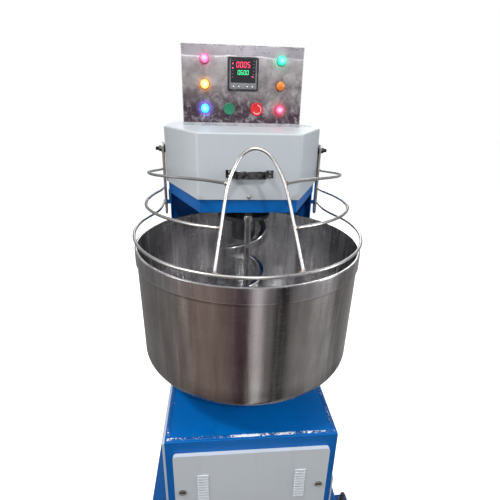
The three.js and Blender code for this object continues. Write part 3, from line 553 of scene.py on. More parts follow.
@dataclass(frozen=True)
class DisplayGlass(Finish):
    """Dark smoked display window with a little dust."""

    def dress(self, sheet: NodeSheet) -> None:
        """Near black, glossy, finely dusty."""
        dust = sheet.grain(300.0, detail=5.0, roughness=0.7)
        tone = sheet.mixed(sheet.span(dust, 0.55, 0.72, 0.0, 0.25), (0.012, 0.012, 0.016), (0.12, 0.12, 0.13))
        sheet.set(base_color=tone, roughness=sheet.vary(dust, 0.10, 0.30), metallic=0.0, coat_weight=0.3,
            coat_roughness=0.1)


@dataclass(frozen=True)
class Segment(Finish):
    """A lit display segment, a little uneven along its length."""

    colour: Colour = (1.0, 0.05, 0.12)
    glow: float = 4.0

    def dress(self, sheet: NodeSheet) -> None:
        """Light that wavers slightly."""
        uneven = sheet.grain(500.0, detail=2.0)
        sheet.set(base_color=sheet.mixed(uneven, self.colour, shaded(self.colour, 0.5)), roughness=0.4,
            emission_color=self.colour, emission_strength=sheet.span(uneven, 0.2, 0.8, self.glow * 0.8, self.glow))


@dataclass(frozen=True)
class StudioFloor(Finish):
    """The plain pale floor."""

    colour: Colour = (0.86, 0.86, 0.86)

    def dress(self, sheet: NodeSheet) -> None:
        """Very slightly mottled matt white."""
        clouds = sheet.grain(1.5, detail=2.0)
        sheet.set(base_color=sheet.mixed(sheet.vary(clouds, 0.0, 0.06), self.colour, (0.78, 0.78, 0.79)), roughness=0.9,
            metallic=0.0, emission_strength=0.62, emission_color=(1.0, 1.0, 1.0))


BLUE = Enamel("BlueEnamel", srgb(0, 104, 186), srgb(0, 88, 158), roughness=0.36, grime=0.35, chips=0.75)
DEEP_BLUE = Enamel("DeepBlueEnamel", srgb(0, 84, 152), srgb(2, 66, 122), roughness=0.42, grime=0.45, chips=0.6)
WHITE = Enamel("HoodWhite", srgb(196, 203, 208), srgb(184, 190, 196), roughness=0.42, grime=0.10, chips=0.15)
PANEL_WHITE = Enamel("PanelWhite", srgb(208, 214, 220), srgb(194, 199, 204), roughness=0.45, grime=0.18, chips=0.2)
WELD_WHITE = WeldSpatter("WeldSpatter", srgb(6, 88, 160))
WELD_FAINT = WeldSpatter("WeldSpatterFaint", srgb(6, 88, 160), cover=0.66)
# Painted highlight: the box's fold strips take a brighter steel than the sheet so that they read bright.
BOX_FOLD = WorkedSteel("FoldedSheetEdge", (0.80, 0.79, 0.82), (0.52, 0.49, 0.54), 0.26, (30, 300, 300))
# The first dark band is painted shade just under the band's lip; the second darkens the outside towards the bowl's
# bottom.
BOWL_STEEL = SpunSteel("SpunBowlSteel", light=(0.60, 0.58, 0.565), dark=(0.33, 0.305, 0.29),
    grimy=((0.952, 0.9595, 0.75), (0.735, 0.672, 0.80)))
BOWL_BAND = SpunSteel("BowlBandSteel", light=(0.63, 0.62, 0.63), dark=(0.37, 0.355, 0.36))
# Painted light: the inside is a lighter copy of the bowl steel, standing in for light inside the bowl; its dark band
# darkens it towards the bottom.
BOWL_INSIDE = SpunSteel("BowlInsideSteel", light=(0.90, 0.90, 0.91), dark=(0.55, 0.55, 0.56), roughness=0.25,
    streaks=0.8, grimy=((0.84, 0.70, 0.85),))
BOWL_EDGE = WorkedSteel("BowlEdgeSteel", (0.86, 0.84, 0.82), (0.62, 0.60, 0.58), 0.18, (40, 40, 400))
ROD_STEEL = WorkedSteel("GuardRodSteel", (0.60, 0.59, 0.58), (0.52, 0.51, 0.495), 0.25, (14, 14, 14), tint=0.07,
    cloud=8.0, pits=0.02)
ARM_STEEL = WorkedSteel("GuardArmSteel", (0.74, 0.72, 0.66), (0.48, 0.46, 0.42), 0.28, (40, 300, 14), tint=0.2)
BEAD_STEEL = WorkedSteel("WeldBeadSteel", (0.62, 0.58, 0.55), (0.26, 0.22, 0.20), 0.32, (300, 300, 300), tint=0.6)
TOOL_STEEL = WorkedSteel("SpiralSteel", (0.95, 0.94, 0.93), (0.74, 0.72, 0.71), 0.17, (60, 60, 500), pits=0.3)
HUB_STEEL = WorkedSteel("HubSteel", (0.20, 0.20, 0.21), (0.09, 0.09, 0.095), 0.34, (40, 40, 500))
BAR_STEEL = WorkedSteel("BreakerBarSteel", (0.88, 0.87, 0.86), (0.62, 0.60, 0.59), 0.20, (30, 30, 700))
BRIGHT = WorkedSteel("BrightFastenerSteel", (0.78, 0.77, 0.75), (0.46, 0.45, 0.43), 0.25, (200, 200, 200))
DARK_METAL = WorkedSteel("BlackenedSteel", (0.115, 0.115, 0.125), (0.045, 0.045, 0.05), 0.36, (90, 200, 200), rust=0.35)
# Painted reflection: the handle's near-black steel with bright clouds stands in for the dark and bright reflections in
# its chrome.
HANDLE_STEEL = WorkedSteel("HandleSteel", (0.20, 0.195, 0.20), (0.002, 0.002, 0.003), 0.15, (40, 300, 300), cloud=110.0,
    pits=2.0)
ZINC = WorkedSteel("ZincSteel", (0.55, 0.54, 0.49), (0.28, 0.27, 0.24), 0.35, (200, 200, 200), tint=0.3, rust=0.2)
GREY_CASTING = Casting("GreyCasting", (0.17, 0.185, 0.20), metal=0.4)
MOTOR_PAINT = Casting("MotorCasting", (0.10, 0.135, 0.16), 0.5)
BLACK = Moulding("BlackMoulding", (0.014, 0.014, 0.016), 0.38)
RUBBER = Moulding("BlackRubber", (0.018, 0.018, 0.019), 0.72, 0.00012, 0.4)
TIMER_GREY = Moulding("TimerFrameGrey", (0.20, 0.205, 0.225), 0.40, dust=0.15)
KEY_GREY = Moulding("TimerKeyGrey", (0.10, 0.105, 0.12), 0.5, dust=0.1)
MARK_WHITE = Moulding("MarkWhite", (0.93, 0.94, 0.96), 0.5, dust=0.05)
GREEN = Moulding("StartGreen", srgb(16, 112, 80), 0.5, dust=0.12)
# Painted shade: a darker copy of the start green for the button's neck, shoulder and sides.
GREEN_PAINTED_SHADE = Moulding("StartGreenSide", srgb(14, 84, 60), 0.5, dust=0.12)
RED = Moulding("StopRed", srgb(205, 24, 34), 0.38, dust=0.08)
# Painted highlight: a pale red for two arcs on the stop button's top.
RED_PAINTED_HIGHLIGHT = Moulding("StopMarks", (0.70, 0.42, 0.42), 0.5, dust=0.1)
GLASS = DisplayGlass("DisplayWindow")
RED_DIGIT = Segment("RedDigits", (1.0, 0.05, 0.13), 1.6)
GREEN_DIGIT = Segment("GreenDigits", (0.06, 0.95, 0.36), 1.1)


# ---------------------------------------------------------------- shaping
def turned(profile: Sequence[Point], steps: int = 64) -> Shape:
    """Spins a profile about Z.

    Args:
        profile: radius and height points, from the bottom up the outside.
        steps: how many segments the turn has.

    Returns:
        The turned shape.
    """
    bm = bmesh.new()
    corners = [bm.verts.new((radius, 0.0, height)) for radius, height in profile]
    lines = [bm.edges.new(pair) for pair in zip(corners, corners[1:])]
    ops.spin(bm, geom=corners + lines, cent=(0, 0, 0), axis=(0, 0, 1), angle=tau, steps=steps, use_merge=True)
    ops.remove_doubles(bm, verts=bm.verts, dist=1e-6)
    ops.recalc_face_normals(bm, faces=bm.faces)
    return bm


def turned_ring(profile: Sequence[Point], steps: int = 64) -> Shape:
    """Spins a profile that closes on itself; takes what turned takes and returns the ring."""
    return turned([*profile, profile[0]], steps)


def slab(outline: Sequence[Point], low: float, high: float) -> Shape:
    """Raises a flat outline into a plate.

    Args:
        outline: its corners on XY, in order.
        low: its lower face's height.
        high: its upper face's height.

    Returns:
        The plate.
    """
    bm = bmesh.new()
    face = bm.faces.new([bm.verts.new((x, y, low)) for x, y in outline])
    raised = ops.extrude_face_region(bm, geom=[face])["geom"]
    top = [item for item in raised if isinstance(item, bmesh.types.BMVert)]
    ops.translate(bm, verts=top, vec=(0, 0, high - low))
    ops.recalc_face_normals(bm, faces=bm.faces)
    return bm


def block(low: Iterable[float], high: Iterable[float]) -> Shape:
    """A block between two corners; returns it."""
    low, high = Vector(low), Vector(high)
    size = high - low
    bm = bmesh.new()
    ops.create_cube(bm, size=1.0, matrix=moved((low + high) / 2) @ Matrix.Diagonal((*size, 1)))
    return bm


def hexagon(radius: float, low: float, high: float) -> Shape:
    """A six-sided head or nut with its corners turned off; returns it."""
    bm = slab([(radius * cos(radians(a)), radius * sin(radians(a))) for a in range(0, 360, 60)], low, high)
    return softened(bm, min(0.0009, (high - low) / 4), 2)


def sharp_edges(bm: Shape, angle: float = 28.0) -> list[bmesh.types.BMEdge]:
    """The edges whose faces meet at more than an angle in degrees."""
    limit = radians(angle)
    return [e for e in bm.edges if e.is_manifold and e.calc_face_angle(0.0) > limit]


def softened(bm: Shape, width: float, segments: int = 2, wanted: Callable[[bmesh.types.BMEdge],
        bool] | None = None) -> Shape:
    """Rounds sharp edges.

    Args:
        bm: the shape.
        width: how far the rounding reaches, in metres.
        segments: how many faces it has.
        wanted: which sharp edges are rounded, or None for all.

    Returns:
        The same shape.
    """
    picked = [e for e in sharp_edges(bm) if wanted is None or wanted(e)]
    ops.bevel(bm, geom=picked, offset=width, offset_type="OFFSET", segments=segments, profile=0.5, affect="EDGES",
        material=-1, clamp_overlap=True)
    return bm


def rounded_rectangle(half_x: float, half_y: float, radius: float, steps: int = 6) -> list[Point]:
    """The outline of a rectangle with round corners, anticlockwise."""
    points = []
    for turn, (sx, sy) in enumerate(((1, 1), (-1, 1), (-1, -1), (1, -1))):
        for step in range(steps + 1):
            angle = radians(90 * (turn + step / steps))
            points.append((sx * (half_x - radius) + radius * cos(angle), sy * (half_y - radius) + radius * sin(angle)))
    return points


def smooth_path(corners: Sequence[Vector], gap: float = 0.006) -> list[Vector]:
    """A centripetal curve through points.

    Args:
        corners: the points it passes.
        gap: roughly how far apart its own points are.

    Returns:
        The curve's points.
    """
    ghosts = [corners[0] * 2 - corners[1], *corners, corners[-1] * 2 - corners[-2]]
    path = [corners[0].copy()]
    for before, start, end, after in zip(ghosts, ghosts[1:], ghosts[2:], ghosts[3:]):
        first, second, third = (sqrt((b - a).length) for a, b in ((before, start), (start, end), (end, after)))
        out = ((start - before) / first - (end - before) / (first + second) + (end - start) / second) * second
        home = ((end - start) / second - (after - start) / (second + third) + (after - end) / third) * second
        steps = max(1, round((end - start).length / gap))
        for step in range(1, steps + 1):
            t = step / steps
            path.append(start * (2 * t**3 - 3 * t**2 + 1) + out * (t**3 - 2 * t**2 + t) + end * (3 * t**2 - 2 * t**3) +
                home * (t**3 - t**2))
    return path


def framed(path: Sequence[Vector]) -> list[Matrix]:
    """Matrices that carry a section along a path without twisting it, Z along the path."""
    frames, turn = [], None
    for index, here in enumerate(path):
        ahead = (path[min(index + 1, len(path) - 1)] - path[max(index - 1, 0)]).normalized()
        if turn is None:
            turn = ahead.to_track_quat("Z", "Y")
        else:
            turn = (turn @ Vector((0, 0, 1))).rotation_difference(ahead) @ turn
        frames.append(moved(here) @ turn.to_matrix().to_4x4())
    return frames


def swept(frames: Sequence[Matrix], section: Sequence[Point], scale_at: Callable[[float],
        float] | None = None) -> Shape:
    """Carries a closed section along frames and closes its ends.

    Args:
        frames: the section's place at each station.
        section: the section's corners on XY.
        scale_at: how large it is at each share of the way, or None.

    Returns:
        The swept shape.
    """
    bm = bmesh.new()
    ring = [bm.verts.new((x, y, 0.0)) for x, y in section]
    edges = [bm.edges.new((a, b)) for a, b in zip(ring, ring[1:] + ring[:1])]

    def sized(index: int) -> Matrix:
        """The frame at a station, with its scale."""
        size = 1.0 if scale_at is None else scale_at(index / (len(frames) - 1))
        return frames[index] @ Matrix.Diagonal((size, size, 1.0, 1.0))

    ops.transform(bm, matrix=sized(0), verts=ring)
    ops.contextual_create(bm, geom=edges)
    for index in range(1, len(frames)):
        made = ops.extrude_edge_only(bm, edges=edges)["geom"]
        edges = [item for item in made if isinstance(item, bmesh.types.BMEdge)]
        verts = [item for item in made if isinstance(item, bmesh.types.BMVert)]
        ops.transform(bm, matrix=sized(index) @ sized(index - 1).inverted(), verts=verts)
    ops.contextual_create(bm, geom=edges)
    ops.recalc_face_normals(bm, faces=bm.faces)
    return bm


def circle(radius: float, sides: int = 16) -> list[Point]:
    """The corners of a round section."""
    return [(radius * cos(tau * k / sides), radius * sin(tau * k / sides)) for k in range(sides)]


def lumpy(bm: Shape, amount: float, size: float, seed: float = 0.0) -> Shape:
    """Pushes every corner along its normal by seeded noise of the given amount and size; returns the shape."""
    bm.normal_update()
    for vert in bm.verts:
        vert.co += vert.normal * amount * noise.noise(vert.co / size + Vector((seed, seed, seed)))
    return bm


def node_copy(node: str, width: float = 0.0, segments: int = 2) -> Shape:
    """A merged copy of a frame node's shape with its flat faces joined and its edges rounded.

    Args:
        node: the node's name.
        width: how far the rounding reaches, or 0 for none.
        segments: how many faces the rounding has.

    Returns:
        The copy.
    """
    bm = bmesh.new()
    bm.from_mesh(frame["nodes"][node].data)
    ops.remove_doubles(bm, verts=bm.verts, dist=1e-6)
    ops.dissolve_limit(bm, angle_limit=radians(1.0), verts=bm.verts, edges=bm.edges)
    return softened(bm, width, segments) if width else bm


class Piece:
    """One finished piece in the making: parts are added, each with its finish, and then it is set in place."""

    def __init__(self, name: str, slot: str, *nodes: str, body: str = MACHINE) -> None:
        """Opens an empty piece.

        Args:
            name: the piece's name.
            slot: the material slot that its finish belongs to; not used.
            *nodes: the frame nodes that it stands for.
            body: the body that it rides on.
        """
        self.name, self.slot, self.nodes, self.body = name, slot, nodes, body
        self.bm = bmesh.new()
        self.finishes: list[Finish] = []

    def take(self, part: Shape, finish: Finish, place: Matrix = IDENTITY) -> "Piece":
        """Adds a part.

        Args:
            part: the part's shape, which is used up.
            finish: how it looks.
            place: where it goes.

        Returns:
            The piece.
        """
        if finish not in self.finishes:
            self.finishes.append(finish)
        for face in part.faces:
            face.material_index = self.finishes.index(finish)
        ops.transform(part, matrix=place, verts=part.verts)
        if place.to_3x3().determinant() < 0:
            ops.reverse_faces(part, faces=part.faces)
        carrier = bpy.data.meshes.new("part")
        part.to_mesh(carrier)
        part.free()
        self.bm.from_mesh(carrier)
        bpy.data.meshes.remove(carrier)
        return self

    def set_in_place(self, angle: float = 32.0) -> bpy.types.Object:
        """Makes the object, shades it smooth below an angle, and hands it to its body.

        Args:
            angle: faces that meet at more than this many degrees keep a sharp edge.

        Returns:
            The object.
        """
        mesh = bpy.data.meshes.new(self.name)
        self.bm.to_mesh(mesh)
        self.bm.free()
        mesh.shade_smooth()
        mesh.set_sharp_from_angle(angle=radians(angle))
        for finish in self.finishes:
            mesh.materials.append(finish.material())
        made = bpy.data.objects.new(self.name, mesh)
        weigh = made.modifiers.new("flat_faces", "WEIGHTED_NORMAL")
        weigh.keep_sharp, weigh.weight = True, 60
        bpy.context.scene.collection.objects.link(made)
        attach(made, self.body)
        if self.nodes:
            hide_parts(*self.nodes)
        LOG.info("%s: %d faces on %s", self.name, len(mesh.polygons), self.body)
        return made


def dressed(name: str, node: str, width: float, segments: int, paint: Enamel) -> None:
    """Makes a piece of blue painted sheet that is only a frame node with its edges rounded."""
    Piece(name, "blue_paint", node).take(node_copy(node, width, segments), paint).set_in_place()


def middle_of(node: str) -> Vector:
    """The middle of a frame node's box."""
    low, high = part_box(node)
    return (low + high) / 2


def facing_side(side: Side, place: Vector) -> Matrix:
    """A matrix that turns a shape drawn on XY to face a side of the machine: x along Y, depth outwards."""
    sign = side.value
    turn = Matrix(((0, 0, sign), (sign, 0, 0), (0, 1, 0))).to_4x4()
    return moved(place) @ turn


def on_side(side: Side, low: Vector, high: Vector) -> Matrix:
    """The same, at the middle of the inner end of a box that stands out from that side."""
    inner = low.x if side is Side.RIGHT else high.x
    return facing_side(side, Vector((inner, (low.y + high.y) / 2, (low.z + high.z) / 2)))


def facing_front(place: Iterable[float]) -> Matrix:
    """A matrix that turns a shape drawn on XY, depth on Z, to face the operator."""
    return moved(Vector(place)) @ TURN_TO_FRONT


def on_panel(node: str) -> tuple[Matrix, float, float, float]:
    """Where a round part sits on the control box's face.

    Args:
        node: the part's node.

    Returns:
        The matrix to its middle on the face, its radius, how far it stands out and how far it reaches in.
    """
    low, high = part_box(node)
    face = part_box("control_box")[0].y
    place = facing_front(((low.x + high.x) / 2, face, (low.z + high.z) / 2))
    return place, (high.z - low.z) / 2, face - low.y, face - high.y


def pan_screw(radius: float, height: float, steps: int = 24) -> Shape:
    """A low domed screw head with a slot sunk across it, seated at z = 0; returns it."""
    bm = turned([(0, 0), (radius, 0), (radius, height * 0.45), (radius * 0.82, height * 0.85), (radius * 0.5, height),
        (0, height)], steps)
    half = radius * 0.13
    for where in (-half, half):
        ops.bisect_plane(bm, geom=[*bm.verts, *bm.edges, *bm.faces], dist=1e-7, plane_co=(0, where, 0),
            plane_no=(0, 1, 0))
    floor = [f for f in bm.faces if abs(f.calc_center_median().y) < half and f.normal.z > 0.2]
    sunk = ops.extrude_face_region(bm, geom=floor)["geom"]
    ops.delete(bm, geom=floor, context="FACES")
    ops.translate(bm, verts=[v for v in sunk if isinstance(v, bmesh.types.BMVert)], vec=(0, 0, -height * 0.4))
    return bm


# ---------------------------------------------------------------- base
@dataclass
class Base:
    """The floor frame, its levelling feet, the drive housing and its covers."""

    edge: float = 0.0022
    seam_inset: float = 0.0105
    louvre_half: float = 0.0155
    louvre_depth: float = 0.0027
    louvre_rows: int = 11
    louvre_pitch: float = 0.0096
    louvre_middle: tuple = (0.128, 0.404)
    screw_inset: float = 0.022
    lock_across: float = 0.1815
    nuts: tuple = (0.0487, 0.0723)

    def build(self) -> None:
        """Makes every piece of the base."""
        dressed("floor_frame", "plinth_frame", 0.003, 3, DEEP_BLUE)
        self.housing()
        self.front_cover()
        for side in Side:
            self.side_cover(side)
            self.lock(side)
            for end in ("front", "rear"):
                self.foot(f"levelling_foot_{end}_{side.label}")

    def housing(self) -> None:
        """The welded housing, its panel frame lip and the rubbed-through weld seams on its top."""
        low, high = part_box("base_housing")
        piece = Piece("drive_housing", "blue_paint", "base_housing")
        piece.take(node_copy("base_housing", self.edge, 3), BLUE)
        front = low.y + self.seam_inset
        piece.take(self.seam(Vector((low.x + 0.006, front, high.z)), Vector((high.x - 0.006, front, high.z)), 3.0),
            WELD_WHITE)
        for x, seed, finish in ((low.x + 0.008, 7.0, WELD_FAINT), (high.x - 0.008, 11.0, WELD_FAINT)):
            piece.take(self.seam(Vector((x, low.y + 0.02, high.z)), Vector((x, high.y - 0.3, high.z)), seed), finish)
        piece.set_in_place()

    def seam(self, start: Vector, end: Vector, seed: float) -> Shape:
        """A flat uneven weld bead, dressed back with a grinder.

        Args:
            start: one end.
            end: the other end.
            seed: picks its unevenness.

        Returns:
            The bead.
        """
        count = max(2, round((end - start).length / 0.0022))
        path = [start.lerp(end, k / count) for k in range(count + 1)]
        bm = swept(framed(path), circle(0.0040, 10))
        ops.scale(bm, vec=(1, 1, 0.30), verts=bm.verts, space=moved((0, 0, -start.z)))
        return lumpy(bm, 0.0016, 0.0035, seed)

    def front_cover(self) -> None:
        """The louvred cover: a returned sheet with eleven pressed hoods in each stack, and a shadow gap."""
        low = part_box("front_panel")[0]
        piece = Piece("louvred_front_cover", "white_paint", "front_panel")
        piece.take(node_copy("front_panel", SHEET_ROUND), PANEL_WHITE)
        x, z = self.louvre_middle
        for side in Side:
            for row in range(self.louvre_rows):
                height = z + (row - (self.louvre_rows - 1) / 2) * self.louvre_pitch
                piece.take(self.louvre(), PANEL_WHITE, facing_front((side.value * x, low.y + 0.0002, height)))
        piece.set_in_place(40.0)

    def louvre(self) -> Shape:
        """One pressed hood, closed above and at its ends and open below; returns it, lying on XY."""
        half, depth = self.louvre_half, self.louvre_depth
        bm = block((-half, -0.0016, -0.0006), (half, 0.0034, depth))
        high = [v for v in bm.verts if v.co.z > 0 and v.co.y > 0]
        ops.translate(bm, verts=high, vec=(0, -0.0012, -depth * 0.15))
        for vert in bm.verts:
            if vert.co.z > 0:
                vert.co.x -= copysign(0.0022, vert.co.x)
        softened(bm, 0.0012, 3, lambda e: all(v.co.z > 0 for v in e.verts) and any(v.co.y > 0 for v in e.verts))
        open_faces = [f for f in bm.faces if f.normal.z < -0.9 or (f.normal.y < -0.9 and f.calc_area() > 2e-5)]
        ops.delete(bm, geom=open_faces, context="FACES")
        ops.solidify(bm, geom=bm.faces, thickness=0.0007)
        return bm

    def side_cover(self, side: Side) -> None:
        """A lift-off side cover with four screws at its corners."""
        node = f"side_cover_{side.label}"
        low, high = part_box(node)
        piece = Piece(f"side_cover_sheet_{side.label}", "white_paint", node)
        piece.take(node_copy(node, SHEET_ROUND), PANEL_WHITE)
        x = (high if side is Side.RIGHT else low).x
        for y in (low.y + self.screw_inset, high.y - self.screw_inset):
            for z in (low.z + self.screw_inset, high.z - self.screw_inset):
                piece.take(pan_screw(*COVER_SCREW), ZINC, facing_side(side, Vector((x, y, z))))
        piece.set_in_place(40.0)

    def lock(self, side: Side) -> None:
        """A quarter-turn lock: a flanged round head with a dark block across its face as painted shade for a slot, and
        its cam behind the sheet.
        """
        node = f"panel_lock_{side.label}"
        low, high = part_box(node)
        radius = (high.z - low.z) / 2
        centre = Vector((side.value * self.lock_across, low.y, (low.z + high.z) / 2))
        piece = Piece(f"slotted_lock_{side.label}", "dark_steel", node, body=f"panel_lock_{side.label}")
        length = high.y - low.y
        piece.take(turned([(0, -length), (0.0072, -length), (0.0072, -0.0029), (radius - 0.0004, -0.0029),
            (radius, -0.0024), (radius, -0.0012), (radius - 0.0016, 0.0), (0.0062, 0.0), (0.0056, -0.0008),
            (0, -0.0008)], 40), ZINC, facing_front(centre))
        # Painted shade: the slot is not cut; a dark block across the face stands in for it.
        slot = block((-0.0052, -0.0011, -0.0018), (0.0052, 0.0011, -0.00055))
        piece.take(slot, DARK_METAL, facing_front(centre))
        reach = side.value * 0.025
        cam = block((min(0.0, reach), -0.006, -length), (max(0.0, reach), 0.006, -length + 0.003))
        piece.take(softened(cam, 0.0008, 2), ZINC, facing_front(centre))
        piece.set_in_place()

    def foot(self, node: str) -> None:
        """A levelling foot: rubber pad, threaded stud and two nuts."""
        low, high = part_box(node)
        centre = (low + high) / 2
        radius = (high.y - low.y) / 2
        place = moved((centre.x, centre.y, low.z))
        piece = Piece(f"{node}_screw", "rubber", node)
        piece.take(turned([(0, 0), (radius - 0.002, 0), (radius, 0.002), (radius, 0.008), (radius - 0.003, 0.0105),
            (0.015, 0.0125), (0.013, 0.017), (0, 0.017)], 40), RUBBER, place)
        thread = [(0, 0.016)]
        pitch, top = 0.002, high.z - low.z
        for turn in range(int((top - 0.022) / pitch)):
            height = 0.018 + turn * pitch
            thread += [(0.0070, height), (0.0079, height + pitch / 2)]
        thread += [(0.0070, top - 0.003), (0.0055, top), (0, top)]
        piece.take(turned(thread, 20), DARK_METAL, place)
        for height in self.nuts:
            piece.take(hexagon(0.0138, height, height + 0.0108), DARK_METAL, place)
        piece.set_in_place()


# ---------------------------------------------------------------- column and back
@dataclass
class Column:
    """The column behind the bowl, its service cover and the mains gland."""

    screw_inset: float = 0.020


    def build(self) -> None:
        """Makes every piece of the column."""
        dressed("column_sheet", "column_shell", 0.0018, 3, BLUE)
        low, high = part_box("rear_cover")
        cover = Piece("rear_service_cover", "white_paint", "rear_cover")
        cover.take(node_copy("rear_cover", SHEET_ROUND), PANEL_WHITE)
        back = Matrix.Rotation(pi, 4, "Z")
        for x in (low.x + self.screw_inset, 0.0, high.x - self.screw_inset):
            for z in (low.z + self.screw_inset, high.z - self.screw_inset):
                cover.take(pan_screw(*COVER_SCREW), ZINC, moved((x, high.y, z)) @ back @ TURN_TO_FRONT)
        cover.set_in_place(40.0)
        self.gland()

    def gland(self) -> None:
        """The mains gland: hexagon foot, ribbed dome and a soft mouth."""
        low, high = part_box("cable_gland")
        centre, length = middle_of("cable_gland"), high.y - low.y
        place = moved((centre.x, low.y, centre.z)) @ Matrix.Rotation(-pi / 2, 4, "X")
        piece = Piece("mains_gland", "black_plastic", "cable_gland")
        piece.take(hexagon(0.0158, 0.0, 0.0088), BLACK, place)
        ribs = []
        for turn in range(5):
            height = 0.0095 + turn * 0.0018
            ribs += [(0.0110, height), (0.0104, height + 0.0009)]
        piece.take(turned([(0, 0.008), (0.0110, 0.0088), *ribs, (0.0106, length - 0.008), (0.0082, length - 0.0012),
            (0.0074, length), (0.0060, length), (0.0056, length - 0.006), (0, length - 0.006)], 48), BLACK, place)
        piece.set_in_place()


# ---------------------------------------------------------------- head
@dataclass
class Head:
    """The head frame, the faceted hood, its handle and screw."""

    fold: float = 0.007
    top_fold: float = 0.0045
    sheet: float = 0.002
    handle_half: float = 0.010
    nose_half: float = 0.135
    cheek_depth: float = 0.260

    def build(self) -> None:
        """Makes every piece of the head."""
        dressed("head_sheet_frame", "head_frame", 0.0016, 2, BLUE)
        self.hood()
        self.handle()

    def plan(self) -> list[Point]:
        """The hood's outline: a flat nose, two slanted cheeks and straight sides."""
        low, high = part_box("hood_cover")
        nose, shoulder = self.nose_half, low.y + self.cheek_depth
        return [(-nose, low.y), (nose, low.y), (high.x, shoulder), (high.x, high.y), (low.x, high.y), (low.x, shoulder)]

    def hood(self) -> None:
        """The folded hood, open below, with a screw in its nose."""
        low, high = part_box("hood_cover")
        bm = slab(self.plan(), low.z, high.z)
        softened(bm, self.fold, 4, lambda e: abs(e.verts[0].co.z - e.verts[1].co.z) > 0.05)
        softened(bm, self.top_fold, 4, lambda e: all(v.co.z > high.z - 1e-5 for v in e.verts))
        ops.delete(bm, geom=[f for f in bm.faces if f.normal.z < -0.9], context="FACES")
        ops.solidify(bm, geom=bm.faces, thickness=self.sheet)
        piece = Piece("hood_sheet", "white_paint", "hood_cover")
        piece.take(bm, WHITE)
        seat = (0.0, low.y, low.z + 0.0075)
        piece.take(turned([(0.0035, 0), (0.0062, 0), (0.0062, 0.0008), (0.0035, 0.0008)], 24), BRIGHT,
            facing_front(seat))
        piece.take(pan_screw(0.0047, 0.0034), BRIGHT, facing_front((seat[0], seat[1] - 0.0007, seat[2])))
        piece.set_in_place(30.0)

    def handle(self) -> None:
        """A bent strap with a rolled grip and two screws in each tab."""
        low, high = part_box("hood_handle")
        half, deep, sheet = high.x, high.y - low.y, 0.003
        inner, bow = half - 0.020, 0.031
        outline: list[Point] = [(-half, 0), (-inner, 0)]
        for step in range(1, 7):
            t = step / 6
            outline.append((-inner + 0.011 * t * t, (deep - 0.005) * (1 - (1 - t) ** 2)))
        outline += [(-x, y) for x, y in reversed(outline)]
        outer: list[Point] = [(half, sheet), (inner + sheet, sheet)]
        for step in range(1, 7):
            t = step / 6
            outer.append((inner + sheet - 0.013 * t * t, sheet + (deep - sheet) * (1 - (1 - t) ** 2)))
        outline += outer + [(-x, y) for x, y in reversed(outer)]
        bm = slab(outline, -self.handle_half, self.handle_half)
        softened(bm, 0.0011, 2, lambda e: e.calc_length() > 0.002)
        centre = middle_of("hood_handle")
        place = moved((0.0, high.y, centre.z)) @ Matrix.Rotation(pi, 4, "X")
        piece = Piece("hood_strap_handle", "dark_steel", "hood_handle")
        piece.take(bm, HANDLE_STEEL, place)
        grip = block((-bow + 0.004, -deep - 0.0002 + 0.001, -0.0056), (bow - 0.004, -deep + 0.0012, 0.0056))
        piece.take(softened(grip, 0.0005, 2), HANDLE_STEEL, moved((0.0, high.y, centre.z)))
        for x in (-half + 0.0095, half - 0.0095):
            for z in (-0.0052, 0.0052):
                piece.take(pan_screw(0.0032, 0.0020, 18), BRIGHT, facing_front((x, high.y - sheet, centre.z + z)))
        piece.set_in_place(30.0)


# ---------------------------------------------------------------- control box
@dataclass(frozen=True)
class Lamp:
    """One pilot lamp's look: its lens, its bright core, and the colour and strength of the glow painted on the sheet
    round it.
    """

    node: str
    colour: Colour
    core: Colour
    glow: float
    slot: str
    # The last two fields are the colour and strength of the glow painted on the box sheet round the lamp.
    rim: Colour = (0.0, 0.0, 0.0)
    halo: float = 0.0


